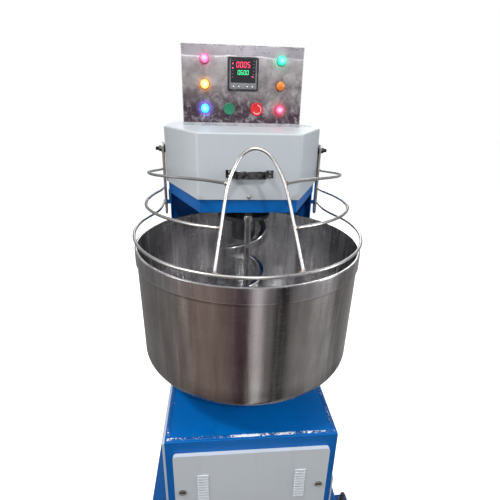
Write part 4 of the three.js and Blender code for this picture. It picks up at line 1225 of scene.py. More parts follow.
@dataclass
class ControlBox:
    """The stainless control box with its lamps, timer and buttons."""

    flange: float = 0.0095
    spill: float = 0.012
    lamps: tuple = (Lamp("top_left", (1.0, 0.09, 0.30), (1.0, 0.42, 0.62), 1.9, "lamp_pink", (1.0, 0.10, 0.30), 0.22),
        Lamp("top_right", (0.0, 0.82, 0.42), (0.25, 1.0, 0.85), 1.9, "lamp_green", (0.0, 0.9, 0.40), 0.35),
        Lamp("middle_left", (1.0, 0.42, 0.02), (1.0, 0.86, 0.50), 2.6, "lamp_yellow", (1.0, 0.30, 0.02), 0.60),
        Lamp("middle_right", (0.90, 0.24, 0.015), (1.0, 0.50, 0.10), 0.0, "lamp_orange"),
        Lamp("bottom_left", (0.02, 0.62, 1.0), (0.25, 1.0, 0.95), 2.0, "lamp_blue", (0.22, 0.10, 1.0), 1.10),
        Lamp("bottom_right", (1.0, 0.04, 0.13), (1.0, 0.35, 0.48), 2.2, "lamp_red", (1.0, 0.02, 0.08), 0.60),)

    def build(self) -> None:
        """Makes every piece of the box."""
        self.shell()
        for lamp in self.lamps:
            self.lamp(lamp)
        Timer().build()
        self.start_button()
        self.stop_button()

    def shell(self) -> None:
        """The folded box: softened sheet, a bright fold along its top and a foot flange all round, their brightness a
        painted highlight.
        """
        low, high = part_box("control_box")
        piece = Piece("control_box_sheet", "stainless", "control_box")
        # Painted light: a glow round each lit lamp, emitted by the sheet itself.
        halos = []
        for lamp in self.lamps:
            if lamp.halo:
                centre = middle_of(f"pilot_lamp_{lamp.node}")
                halos.append(((centre.x, low.y, centre.z), lamp.rim, lamp.halo))
        piece.take(node_copy("control_box", 0.0012, 3), StainedSheet("StainedBoxSheet", low.z, high.z, tuple(halos)))
        # The fold strips along the foot and the top, and at the front corners, take brighter steel: a painted
        # highlight.
        seam = 0.0026
        for start, end in (((low.x, low.y), (high.x, low.y)), ((high.x, low.y), (high.x, high.y)),
                ((high.x, high.y), (low.x, high.y)), ((low.x, high.y), (low.x, low.y))):
            piece.take(self.strip(start, end, low.z, low.z + self.flange, 0.0011, 5.0), BOX_FOLD)
            piece.take(self.strip(start, end, high.z - seam, high.z, 0.0006, 9.0), BOX_FOLD)
        for x in (low.x, high.x):
            corner = block((x - 0.0005, low.y - 0.0006, low.z), (x + 0.0005, low.y + 0.0012, high.z))
            inwards = copysign(0.0011, -x)
            piece.take(softened(corner, 0.0003, 1), BOX_FOLD, moved((inwards, 0.0, 0.0)))
        piece.set_in_place(30.0)

    def strip(self, start: Point, end: Point, low: float, high: float, proud: float, seed: float) -> Shape:
        """A thin hand-folded strip on one face of the box, a little wavy along its length.

        Args:
            start: one end on plan.
            end: the other end on plan.
            low: its lower edge.
            high: its upper edge.
            proud: how far it stands off.
            seed: picks its waviness.

        Returns:
            The strip.
        """
        along = Vector((end[0] - start[0], end[1] - start[1], 0.0))
        length = along.length
        outwards = Vector((along.y, -along.x, 0.0)).normalized()
        bm = bmesh.new()
        ops.create_grid(bm, x_segments=40, y_segments=1, size=0.5)
        ops.solidify(bm, geom=bm.faces, thickness=1.0)
        for vert in bm.verts:
            share, up, out = vert.co.x + 0.5, vert.co.y + 0.5, 1.0 if vert.co.z > -0.5 else 0.0
            wave = noise.noise(Vector((share * length * 34 + seed, seed, 0.0)))
            height = low + up * (high - low) + (0.0011 * wave if up > 0.5 and high - low > 0.005 else 0.0)
            depth = out * proud * (1.0 + 0.35 * wave)
            vert.co = Vector((start[0], start[1], 0)) + along * share + outwards * depth
            vert.co.z = height
        ops.recalc_face_normals(bm, faces=bm.faces)
        return bm

    def lamp(self, lamp: Lamp) -> None:
        """A pilot lamp: black threaded body, dark ring and a domed, ribbed lens."""
        node = f"pilot_lamp_{lamp.node}"
        place, radius, front, _ = on_panel(node)
        centre = place.translation
        piece = Piece(f"lamp_{lamp.node}", lamp.slot, node)
        piece.take(turned([(0, -0.038), (0.0103, -0.038), (0.0103, 0.0), (0, 0.0)], 32), BLACK, place)
        ring = [(0.0105, 0.0004), (radius - 0.0004, 0.0004), (radius, 0.0010), (radius, 0.0030),
            (radius - 0.0007, 0.0040), (radius - 0.0012, 0.0040), (radius - 0.0013, 0.0034), (0.0105, 0.0034)]
        piece.take(turned_ring(ring, 48), BLACK, place)
        wide = radius - 0.0013
        dome = [(0, 0.003), (wide - 0.0002, 0.003), (wide, 0.0085)]
        for step in range(1, 9):
            angle = radians(90 * step / 8)
            dome.append((wide * cos(angle) if step < 8 else 0.0, 0.0085 + (front - 0.0088) * sin(angle)))
        lens = LampLens(f"Lens_{lamp.node}", lamp.colour, lamp.core, lamp.glow, tuple(centre))
        piece.take(turned(dome, 48), lens, place)
        piece.set_in_place(35.0)
        if lamp.glow:
            data = bpy.data.lights.new(f"glow_{lamp.node}", "POINT")
            data.energy, data.color, data.shadow_soft_size = self.spill, lamp.colour, 0.011
            shine = bpy.data.objects.new(data.name, data)
            shine.location = centre - Vector((0.0, front + 0.013, 0.0))
            bpy.context.scene.collection.objects.link(shine)

    def start_button(self) -> None:
        """The start button: a green neck, shoulder and sides under a flat green head with a dished face."""
        place, radius, front, back = on_panel("start_button")
        piece = Piece("start_button_head", "green_plastic", "start_button", body="start_button")
        # The neck, shoulder and sides take the darker green: painted shade.
        piece.take(turned([(0, back), (NECK, back), (NECK, 0.013), (radius - 0.002, 0.013), (radius, 0.015),
            (radius, front - 0.0030)], 64), GREEN_PAINTED_SHADE, place)
        piece.take(turned([(radius, front - 0.0030), (radius - 0.0006, front - 0.0014), (radius - 0.0022, front),
            (radius - 0.0042, front - 0.0004), (radius - 0.0060, front - 0.0012), (0, front - 0.0016)], 64), GREEN,
            place)
        piece.set_in_place(35.0)

    def stop_button(self) -> None:
        """The emergency stop: a red mushroom with two pale arcs on its top as a painted highlight."""
        place, radius, front, back = on_panel("emergency_stop_button")
        piece = Piece("emergency_stop_head", "red_plastic", "emergency_stop_button", body="emergency_stop_button")
        piece.take(turned([(0, back), (NECK, back), (NECK, 0.016), (0.0125, 0.018), (radius - 0.002, 0.0184),
            (radius, 0.0205), (radius, front - 0.0034), (radius - 0.0010, front - 0.0012),
            (radius - 0.0032, front - 0.0002), (radius - 0.0062, front - 0.0009), (0.0100, front - 0.0012),
            (0.0090, front - 0.0002), (0, front)], 64), RED, place)
        # Two pale arcs on the top: a painted highlight of the mushroom's rim.
        for start in (-25, 212):
            path = [Vector(((radius - 0.0072) * cos(radians(a)), (radius - 0.0072) * sin(radians(a)),
                front - 0.00095)) for a in range(start, start + 115, 5)]
            bm = swept(framed(path), circle(0.0015, 8))
            ops.scale(bm, vec=(1, 1, 0.22), verts=bm.verts, space=moved((0, 0, 0.00095 - front)))
            piece.take(bm, RED_PAINTED_HIGHLIGHT, place)
        piece.set_in_place(35.0)


@dataclass
class Timer:
    """The panel timer: black bezel, grey frame, dark window, lit digits and four keys."""

    rows: tuple = (("0005", 0.0262, RED_DIGIT, 0.0148), ("0600", 0.0045, GREEN_DIGIT, 0.0118))
    lit: dict = field(default_factory=lambda: {"0": "abcdef", "5": "acdfg", "6": "acdefg"})
    window: tuple = (0.0385, 0.0335)

    def build(self) -> None:
        """Makes the timer and its keys."""
        low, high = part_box("timer_housing")
        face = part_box("control_box")[0].y
        half = (high.x - low.x) / 2
        place = facing_front((0.0, face, (low.z + high.z) / 2))
        front = face - low.y
        piece = Piece("panel_timer", "black_plastic", "timer_housing")
        body = block((-0.0448, -0.0448, -0.0700), (0.0448, 0.0448, 0.0006))
        piece.take(softened(body, 0.0015, 2), BLACK, place)
        rim = slab(rounded_rectangle(half, half, 0.0065), 0.0004, front)
        softened(rim, 0.0016, 3, lambda e: all(v.co.z > front - 1e-6 for v in e.verts))
        top = max(rim.faces, key=lambda f: f.calc_area() if f.normal.z > 0.9 else 0.0)
        ops.inset_region(rim, faces=[top], thickness=0.0030)
        ops.inset_region(rim, faces=[top], thickness=0.0008, depth=-0.0022)
        piece.take(rim, BLACK, place)
        deep = front - 0.0021
        piece.take(self.grey_frame(half - 0.0056, deep), TIMER_GREY, place)
        width, height = self.window
        glass = slab(rounded_rectangle(width, height, 0.002), deep, deep + 0.0009)
        piece.take(softened(glass, 0.0004, 2), GLASS, place @ moved((0.0, 0.0090, 0.0)))
        for text, up, finish, size in self.rows:
            self.digits(piece, place, text, up, finish, size, deep + 0.0009)
        dots = [(-0.0320, 0.0290), (-0.0320, 0.0165)]
        for x, y in dots:
            piece.take(softened(block((x - 0.0019, y - 0.0019, deep), (x + 0.0019, y + 0.0019, deep + 0.0014)), 0.0004,
                2), RED_DIGIT, place)
        piece.take(block((0.0262, -0.0078, deep), (0.0312, -0.0050, deep + 0.0014)), RED_DIGIT, place)
        for row in range(6):
            for x in (-0.0330, 0.0330):
                y = 0.0370 - row * 0.0092
                piece.take(block((x - 0.0024, y - 0.0006, deep), (x + 0.0024, y + 0.0006, deep + 0.00105)), TIMER_GREY,
                    place)
        piece.set_in_place(30.0)
        for number in (1, 2, 3, 4):
            self.key(number)

    def grey_frame(self, half: float, deep: float) -> Shape:
        """The grey inner plate with waisted sides and a key strip along the bottom; returns it."""
        waist = 0.0012
        outline = rounded_rectangle(half, half, 0.004)
        shaped = [(x - copysign(waist, x) if abs(y) < half * 0.55 else x, y) for x, y in outline]
        bm = slab(shaped, deep - 0.0010, deep + 0.0002)
        return softened(bm, 0.0004, 2)

    def digits(self, piece: Piece, place: Matrix, text: str, up: float, finish: Finish, size: float,
            deep: float) -> None:
        """Adds a row of seven-segment digits.

        Args:
            piece: the timer.
            place: where the timer's drawing goes.
            text: the digits.
            up: the row's middle.
            finish: the light.
            size: the digits' height.
            deep: the window's face.
        """
        wide, thick = size * 0.46, size * 0.125
        bars = {"a": (0, 1, True), "g": (0, 0, True), "d": (0, -1, True), "f": (-1, 0.5, False), "b": (1, 0.5, False),
            "e": (-1, -0.5, False), "c": (1, -0.5, False)}
        for index, digit in enumerate(text):
            centre = (index - (len(text) - 1) / 2) * size * 0.76
            for name in self.lit[digit]:
                across, height, flat = bars[name]
                x, y = centre + across * wide / 2, up + height * size / 2
                x += (y - up) * 0.08
                long, short = (wide - thick * 0.5) / 2, thick / 2
                reach_x, reach_y = (long, short) if flat else (short, size / 4 - thick * 0.2)
                bar = block((x - reach_x, y - reach_y, deep - 0.0004), (x + reach_x, y + reach_y, deep + 0.0003))
                piece.take(softened(bar, thick * 0.22, 1), finish, place)

    def key(self, number: int) -> None:
        """One timer key with its pale arrow mark.

        Args:
            number: which key, 1 to 4 from the left.
        """
        node = f"timer_key_{number}"
        place, radius, front, back = on_panel(node)
        piece = Piece(f"timer_key_cap_{number}", "bright_steel", node, body=node)
        piece.take(turned([(0, back), (radius, back), (radius, front - 0.0008), (radius - 0.0007, front - 0.0002),
            (radius - 0.0016, front - 0.0001), (0, front - 0.0003)], 28), KEY_GREY, place)
        turn = Matrix.Rotation(radians((90, 180, -90, 90)[number - 1]), 4, "Z")
        arrow = slab([(-0.0022, -0.0031), (0.0035, 0.0), (-0.0022, 0.0031), (-0.0012, 0.0)], front - 0.0005, front)
        piece.take(arrow, MARK_WHITE, place @ turn)
        piece.set_in_place(35.0)


# ---------------------------------------------------------------- bowl
@dataclass
class Bowl:
    """The turning bowl: wall, floor, a band round its rim and a rolled bright edge."""

    band: float = 0.040
    wall: float = 0.003
    corner: float = 0.028
    steps: int = 160
    taper: Point = (0.0035, 0.0075)

    def build(self) -> None:
        """Makes the bowl, skin by skin, as one piece."""
        low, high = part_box("mixing_bowl")
        rim = (high.x - low.x) / 2
        top, bottom = high.z, low.z
        upper, lower = (rim - inset for inset in self.taper)
        place = moved(((low.x + high.x) / 2, (low.y + high.y) / 2, 0.0))
        band_foot = top - self.band
        outside, inside = [(0.0, bottom)], []
        arc = 10
        for step in range(arc + 1):
            angle = radians(90 * step / arc)
            centre = lower - self.corner
            outside.append((centre + self.corner * sin(angle), bottom + self.corner * (1 - cos(angle))))
            inner = self.corner - self.wall
            inside.append((centre + inner * sin(angle), bottom + self.wall + inner * (1 - cos(angle))))
        for step in range(1, 7):
            share = step / 6
            outside.append((lower + (upper - lower) * share, bottom + self.corner + (band_foot - bottom - self.corner) *
                share))
        piece = Piece("mixing_bowl_steel", "stainless", "mixing_bowl", body="bowl")
        piece.take(turned(outside, self.steps), BOWL_STEEL, place)
        # Painted highlight: the ring at the band's foot takes the brighter edge steel as a highlight line along the
        # band's lower edge.
        piece.take(turned([(upper, band_foot), (rim - 0.0010, band_foot), (rim, band_foot + 0.0008),
            (rim, band_foot + 0.0022)], self.steps), BOWL_EDGE, place)
        piece.take(turned([(rim, band_foot + 0.0022), (rim, band_foot + 0.013), (rim, band_foot + 0.026),
            (rim, top - 0.0022)], self.steps), BOWL_BAND, place)
        edge_in = upper - self.wall
        piece.take(turned([(rim, top - 0.0022), (rim - 0.0006, top - 0.0008), (rim - 0.0020, top),
            (edge_in + 0.0016, top), (edge_in + 0.0004, top - 0.0006), (edge_in, top - 0.0018)], self.steps), BOWL_EDGE,
            place)
        inner_wall = [(edge_in, top - 0.0018), (edge_in, band_foot)]
        for step in range(1, 6):
            share = step / 6
            inner_wall.append((edge_in + (lower - self.wall - edge_in) * share, band_foot + (bottom + self.corner -
                band_foot) * share))
        inner_wall += [*reversed(inside), (0.0, bottom + self.wall)]
        piece.take(turned(inner_wall, self.steps), BOWL_INSIDE, place)
        made = piece.bm
        ops.remove_doubles(made, verts=made.verts, dist=1e-5)
        ops.recalc_face_normals(made, faces=made.faces)
        piece.set_in_place(35.0)


# ---------------------------------------------------------------- spiral and breaker bar
@dataclass
class MixingTools:
    """The spiral with its hub and flange, and the fixed breaker bar."""

    bar: tuple = (0.020, 0.034)
    pitch: float = 0.150
    sweep_in: float = radians(110)
    start: float = radians(180)
    steps: int = 150
    top: float = 1.0
    hub_foot: float = 0.945

    def build(self) -> None:
        """Makes the tools."""
        self.spiral()
        self.flange()
        self.breaker()

    def spiral(self) -> None:
        """The wound bar, blended off its hub and thinned towards its lower end."""
        low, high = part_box("spiral_tool")
        shaft = middle_of("spiral_shaft")
        radius = (high.x - low.x) / 2 - self.bar[0] / 2
        half_w, half_h = self.bar[0] / 2, self.bar[1] / 2
        coil = tau * (self.top - low.z - half_h) / self.pitch
        frames = []
        for step in range(self.steps + 1):
            turn = step / self.steps * (self.sweep_in + coil)
            out = min(turn / self.sweep_in, 1.0)
            reach = half_w + 0.001 + (radius - half_w - 0.001) * sin(out * pi / 2)
            drop = max(turn - self.sweep_in, 0.0) / tau * self.pitch
            angle = self.start - turn
            radial = Vector((cos(angle), sin(angle), 0.0))
            tangent = Vector((sin(angle), -cos(angle), 0.0))
            up = Vector((0, 0, 1))
            turn_to = Matrix((radial, up, tangent)).transposed().to_4x4()
            frames.append(moved(Vector((shaft.x, shaft.y, self.top - drop)) + radial * reach) @ turn_to)
        piece = Piece("spiral_bar", "stainless", "spiral_tool", body="spiral")
        section = rounded_rectangle(half_w, half_h, 0.0062, 4)
        piece.take(swept(frames, section, lambda share: 1.0 - 0.45 * max(0.0, share - 0.93) / 0.07), TOOL_STEEL)
        place = moved((shaft.x, shaft.y, 0.0))
        hub_low, hub_high = self.hub_foot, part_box("spiral_shaft")[0].z - 0.0003
        piece.take(turned([(0, hub_low), (0.026, hub_low), (0.034, hub_low + 0.003), (0.038, hub_low + 0.009),
            (0.038, hub_high - 0.004), (0.036, hub_high - 0.0015), (0.036, hub_high), (0, hub_high)], 64), HUB_STEEL,
            place)
        weld = [moved(f.translation) for f in frames[6:26:2]]
        for index, spot in enumerate(weld):
            lump = bmesh.new()
            ops.create_icosphere(lump, subdivisions=2, radius=0.0055)
            piece.take(lumpy(lump, 0.0014, 0.004, index), BEAD_STEEL, spot @ moved((0, 0,
                half_h * (1 if index % 2 else -1) * 0.9)))
        piece.set_in_place(35.0)

    def flange(self) -> None:
        """The shaft's round flange with six cap screws under it."""
        low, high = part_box("spiral_shaft")
        centre = middle_of("spiral_shaft")
        radius = (high.x - low.x) / 2
        place = moved((centre.x, centre.y, low.z))
        piece = Piece("spiral_shaft_flange", "dark_steel", "spiral_shaft", body="spiral")
        piece.take(turned([(0, 0), (radius - 0.006, 0), (radius - 0.0015, 0.0015), (radius, 0.004), (radius, 0.0125),
            (radius - 0.0015, 0.014), (0.036, 0.014), (0.034, 0.016), (0.034, 0.0235), (0.0205, 0.024), (0.020, 0.026),
            (0.020, high.z - low.z - 0.001), (0.019, high.z - low.z), (0, high.z - low.z)], 96), HUB_STEEL, place)
        for k in range(6):
            angle = radians(60 * k + 30)
            spot = place @ moved((0.060 * cos(angle), 0.060 * sin(angle), 0.0141))
            piece.take(hexagon(0.0055, 0.0, 0.0042), DARK_METAL, spot)
        piece.set_in_place(35.0)

    def breaker(self) -> None:
        """The breaker bar: a plain turned bar with a bright collar near its top."""
        low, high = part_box("breaker_bar")
        centre = middle_of("breaker_bar")
        collar = (high.x - low.x) / 2
        bar = collar - 0.003
        place = moved((centre.x, centre.y, 0.0))
        piece = Piece("breaker_bar_turned", "bright_steel", "breaker_bar")
        piece.take(turned([(0, low.z), (bar - 0.004, low.z), (bar - 0.0012, low.z + 0.0015), (bar, low.z + 0.005),
            (bar, 0.80), (bar, 0.92), (bar, 1.0468), (bar + 0.0012, 1.048), (bar + 0.0012, 1.0485)], 48), BAR_STEEL,
            place)
        piece.take(turned([(bar - 0.002, 1.0475), (collar - 0.0008, 1.0478), (collar, 1.0488), (collar, 1.0632),
            (collar - 0.0008, 1.0642), (bar - 0.002, 1.0645)], 48), BOWL_EDGE, place)
        piece.take(turned([(bar - 0.0001, 1.0640), (bar - 0.0001, high.z), (0, high.z)], 48), DARK_METAL, place)
        piece.set_in_place(35.0)


# ---------------------------------------------------------------- drives
@dataclass
class Drives:
    """The hidden running gear: hubs, bearings, pulleys, belts and motors."""

    cast: tuple = ("bowl_hub", "bowl_bearing_housing", "bowl_pulley", "bowl_motor_pulley", "spiral_bearing_housing",
        "spiral_pulley", "spiral_motor_pulley")
    motors: tuple = ("bowl_motor", "spiral_motor")
    belts: tuple = ("bowl_belt", "spiral_belt")

    def build(self) -> None:
        """Softens what shows and dresses what is hidden."""
        for names, finish, slot in ((self.cast, GREY_CASTING, "cast_grey"), (self.motors, MOTOR_PAINT, "motor_grey"),
                (self.belts, RUBBER, "rubber")):
            for node in names:
                body = frame["nodes"][node]["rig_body"]
                piece = Piece(f"{node}_finished", slot, node, body=body)
                piece.take(node_copy(node, SHEET_ROUND), finish)
                if node in self.motors:
                    self.fins(piece, node)
                piece.set_in_place(38.0)

    def fins(self, piece: Piece, node: str) -> None:
        """Adds cooling fins round a motor's casing, inside its mounting plate's outline."""
        low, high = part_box(node)
        centre = (low + high) / 2
        start, end = (low.z + 0.035, high.z - 0.02) if node == "bowl_motor" else (low.z + 0.02, high.z - 0.035)
        for k in range(32):
            angle = tau * k / 32
            fin = softened(block((0.083, -0.0011, start), (0.0925, 0.0011, end)), 0.0007, 1)
            piece.take(fin, MOTOR_PAINT, moved((centre.x, centre.y, 0)) @ Matrix.Rotation(angle, 4, "Z"))


# ---------------------------------------------------------------- guard
@dataclass
class Guard:
    """The lifting guard: flat arms, polished rods, their welds, pivots, pegs and interlock."""

    rod: float = 0.00375
    axis_y: float = -0.160
    lap: Point = (0.25905, 0.266)
    loop_foot: tuple = (-0.2877, radians(30))
    loop_outline: tuple = ((0.092, 0.0083), (0.078, 0.098), (0.062, 0.190), (0.048, 0.228), (0.027, 0.262),
        (0.0, 0.274))
    ring: Point = (0.302, radians(116))
    arm_welds: tuple = (0.248, 0.262)
    weld: float = 0.0052
    plans: dict = field(default_factory=lambda: {"middle": ((0.26205, 0.215), (0.274, 0.141), (0.277, 0.050),
        (0.261, -0.040), (0.212, -0.135), (0.140, -0.207), (0.083, -0.239)), "top": ((0.26405, 0.222), (0.277, 0.165),
        (0.277, 0.105), (0.252, 0.032), (0.217, -0.014), (0.165, -0.062), (0.112, -0.114), (0.066, -0.180))})
    levels: dict = field(default_factory=lambda: {"lower": (1.0316, -0.03, 0.0), "middle": (1.086, 0.0443, 0.257),
        "top": (1.148, 0.0972, 0.257)})
    body: str = "guard"

    def build(self) -> None:
        """Makes every piece of the guard."""
        self.lower_ring()
        self.loop()
        for side in Side:
            for level in self.plans:
                self.half_ring(side, level)
            self.arm(side)
            self.pivot_bolt(side)
            self.peg(side)
        self.switch()

    def height(self, level: str, y: float) -> float:
        """A ring's height at a distance behind the bowl's axis: it rises towards the front from where it starts."""
        base, slope, start = self.levels[level]
        return base + slope * (start - y)

    def rod_shape(self, corners: Sequence[Vector]) -> Shape:
        """A round rod bent through points, its ends slightly rounded; returns it."""
        shifted = [Vector((p.x, p.y + self.axis_y, p.z)) for p in corners]
        bm = swept(framed(smooth_path(shifted)), circle(self.rod, 14))
        return softened(bm, 0.0008, 2, lambda e: max(len(f.verts) for f in e.link_faces) > 6)

    def bead(self, piece: Piece, spot: Vector, size: float, seed: float, flat: float = 1.0) -> None:
        """Adds one weld bead.

        Args:
            piece: the piece that carries it.
            spot: its middle, measured from the bowl's axis.
            size: its radius.
            seed: picks its lumps.
            flat: how much it is squashed upright.
        """
        lump = bmesh.new()
        ops.create_icosphere(lump, subdivisions=3, radius=size)
        ops.scale(lump, vec=(1, 1, flat), verts=lump.verts)
        piece.take(lumpy(lump, size * 0.28, size * 0.7, seed), BEAD_STEEL, moved((spot.x, spot.y + self.axis_y,
            spot.z)))

    def lower_ring(self) -> None:
        """The full ring over the bowl's rim, let out to run back along both arms."""
        radius, sweep = self.ring
        plan = [(-self.lap[0], self.lap[1]), (-self.lap[0], 0.215), (-self.lap[0] - 0.002, 0.175)]
        for step in range(17):
            angle = sweep * (2 * step / 16 - 1)
            plan.append((radius * sin(angle), -radius * cos(angle)))
        plan += [(-x, y) for x, y in reversed(plan[:3])]
        piece = Piece("guard_lower_ring_rod", "bright_steel", "guard_lower_ring", body=self.body)
        piece.take(self.rod_shape([Vector((x, y, self.height("lower", y))) for x, y in plan]), ROD_STEEL)
        for side in Side:
            for y in self.arm_welds:
                self.bead(piece, Vector((side.value * (self.lap[0] - 0.0030), y, self.height("lower", y) + 0.0022)),
                    0.0034, y * 90 + side.value, 0.8)
        piece.set_in_place(40.0)

    def loop_point(self, across: float, up: float) -> Vector:
        """A point on the loop's leaning plane, measured from the bowl's axis."""
        y, lean = self.loop_foot
        return Vector((across, y + up * sin(lean), self.height("lower", y) + up * cos(lean)))

    def loop(self) -> None:
        """The upright loop, welded to the lower ring at its feet and to the half rings on its legs."""
        right = [self.loop_point(x, up) for x, up in self.loop_outline]
        left = [Vector((-p.x, p.y, p.z)) for p in right]
        piece = Piece("guard_loop_rod", "bright_steel", "guard_loop", body=self.body)
        piece.take(self.rod_shape([*left, *reversed(right[:-1])]), ROD_STEEL)
        for side in Side:
            foot = right[0]
            self.bead(piece, Vector((side.value * foot.x, foot.y - 0.0005, foot.z - 0.0035)), self.weld,
                2.0 + side.value)
            self.bead(piece, Vector((side.value * (foot.x - 0.004), foot.y, foot.z - 0.0055)), 0.0036, 5.0 + side.value)
            for level, plan in self.plans.items():
                x, y = plan[-1]
                spot = Vector((side.value * (x - 0.0006), y - 0.0005, self.height(level, y)))
                self.bead(piece, spot, self.weld, x * 70 + side.value)
        piece.set_in_place(40.0)

    def half_ring(self, side: Side, level: str) -> None:
        """One half ring from its arm to the loop.

        Args:
            side: which side it is on.
            level: "middle" or "top".
        """
        points = [Vector((side.value * x, y, self.height(level, y))) for x, y in (self.lap, *self.plans[level])]
        name = f"guard_{level}_ring"
        piece = Piece(f"{name}_rod_{side.label}", "bright_steel", f"{name}_{side.label}", body=self.body)
        piece.take(self.rod_shape(points), ROD_STEEL)
        for y in (0.247, 0.262):
            spot = Vector((side.value * (self.lap[0] - 0.0030), y, self.height(level, y) + 0.0022))
            self.bead(piece, spot, 0.0034, y * 50, 0.8)
        piece.set_in_place(40.0)

    def arm(self, side: Side) -> None:
        """A flat arm with round ends and ground edges."""
        node = f"guard_arm_{side.label}"
        low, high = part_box(node)
        half = (high.y - low.y) / 2
        outline: list[Point] = []
        for z, start in ((high.z - half, 0), (low.z + half, 180)):
            outline += [(half * cos(radians(start + 180 * k / 16)), z + half * sin(radians(start + 180 * k / 16))) for k
                in range(17)]
        bm = softened(slab(outline, 0.0, high.x - low.x), 0.0009, 2)
        inner = low.x if side is Side.RIGHT else high.x
        piece = Piece(f"guard_arm_bar_{side.label}", "bright_steel", node, body=self.body)
        piece.take(bm, ARM_STEEL, facing_side(side, Vector((inner, (low.y + high.y) / 2, 0.0))))
        piece.set_in_place()

    def pivot_bolt(self, side: Side) -> None:
        """The pivot: black spacer, washer, hexagon head and the bolt's threaded end."""
        node = f"guard_pivot_{side.label}"
        low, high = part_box(node)
        radius, length = (high.y - low.y) / 2, high.x - low.x
        place = on_side(side, low, high)
        piece = Piece(f"guard_pivot_bolt_{side.label}", "dark_steel", node)
        spacer = 0.0032
        piece.take(turned([(0, 0), (radius - 0.0004, 0), (radius, 0.0004), (radius, spacer - 0.0006),
            (radius - 0.0006, spacer - 0.0001), (0, spacer - 0.0001)], 40), BLACK, place)
        thread = [(0, 0.0005), (0.0058, 0.0005), (0.0058, 0.0185)]
        for turn in range(7):
            thread += [(0.0052, 0.0192 + turn * 0.0014), (0.0058, 0.0199 + turn * 0.0014)]
        thread += [(0.0050, length - 0.0002), (0, length - 0.0002)]
        piece.take(turned(thread, 24), DARK_METAL, place)
        piece.take(turned_ring([(0.006, 0.0098), (0.0122, 0.0098), (0.0122, 0.0112), (0.006, 0.0112)], 40), ZINC, place)
        piece.take(hexagon(0.0099, 0.0112, 0.0192), DARK_METAL, place)
        piece.set_in_place()

    def peg(self, side: Side) -> None:
        """The blue peg that the arm rests against."""
        node = f"guard_stop_{side.label}"
        low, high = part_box(node)
        radius, length = (high.z - low.z) / 2, high.x - low.x
        piece = Piece(f"guard_rest_peg_{side.label}", "blue_paint", node)
        piece.take(turned([(0, 0), (radius, 0), (radius, length - 0.0022), (radius - 0.0007, length - 0.0008),
            (radius - 0.0022, length), (0, length)], 40), BLUE, on_side(side, low, high))
        piece.set_in_place(35.0)

    def switch(self) -> None:
        """The interlock: a black body with two screws and its lever."""
        low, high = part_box("guard_switch")
        piece = Piece("guard_interlock", "black_plastic", "guard_switch")
        piece.take(node_copy("guard_switch", 0.0012, 2), BLACK)
        for z in (low.z + 0.008, high.z - 0.008):
            piece.take(pan_screw(0.0028, 0.0016, 18), BRIGHT, facing_side(Side.LEFT,
                Vector((low.x + 0.0003, (low.y + high.y) / 2 + 0.004, z))))
        piece.set_in_place()


# ---------------------------------------------------------------- studio
PLAIN, BROWN, PLUM = (1.0, 0.99, 0.99), (1.1, 0.88, 0.76), (1.1, 0.78, 0.88)


@dataclass(frozen=True)
class SoftLight:
    """One area light."""

    name: str
    place: tuple
    aim: tuple
    size: Point
    power: float
    colour: Colour = (1.0, 1.0, 1.0)


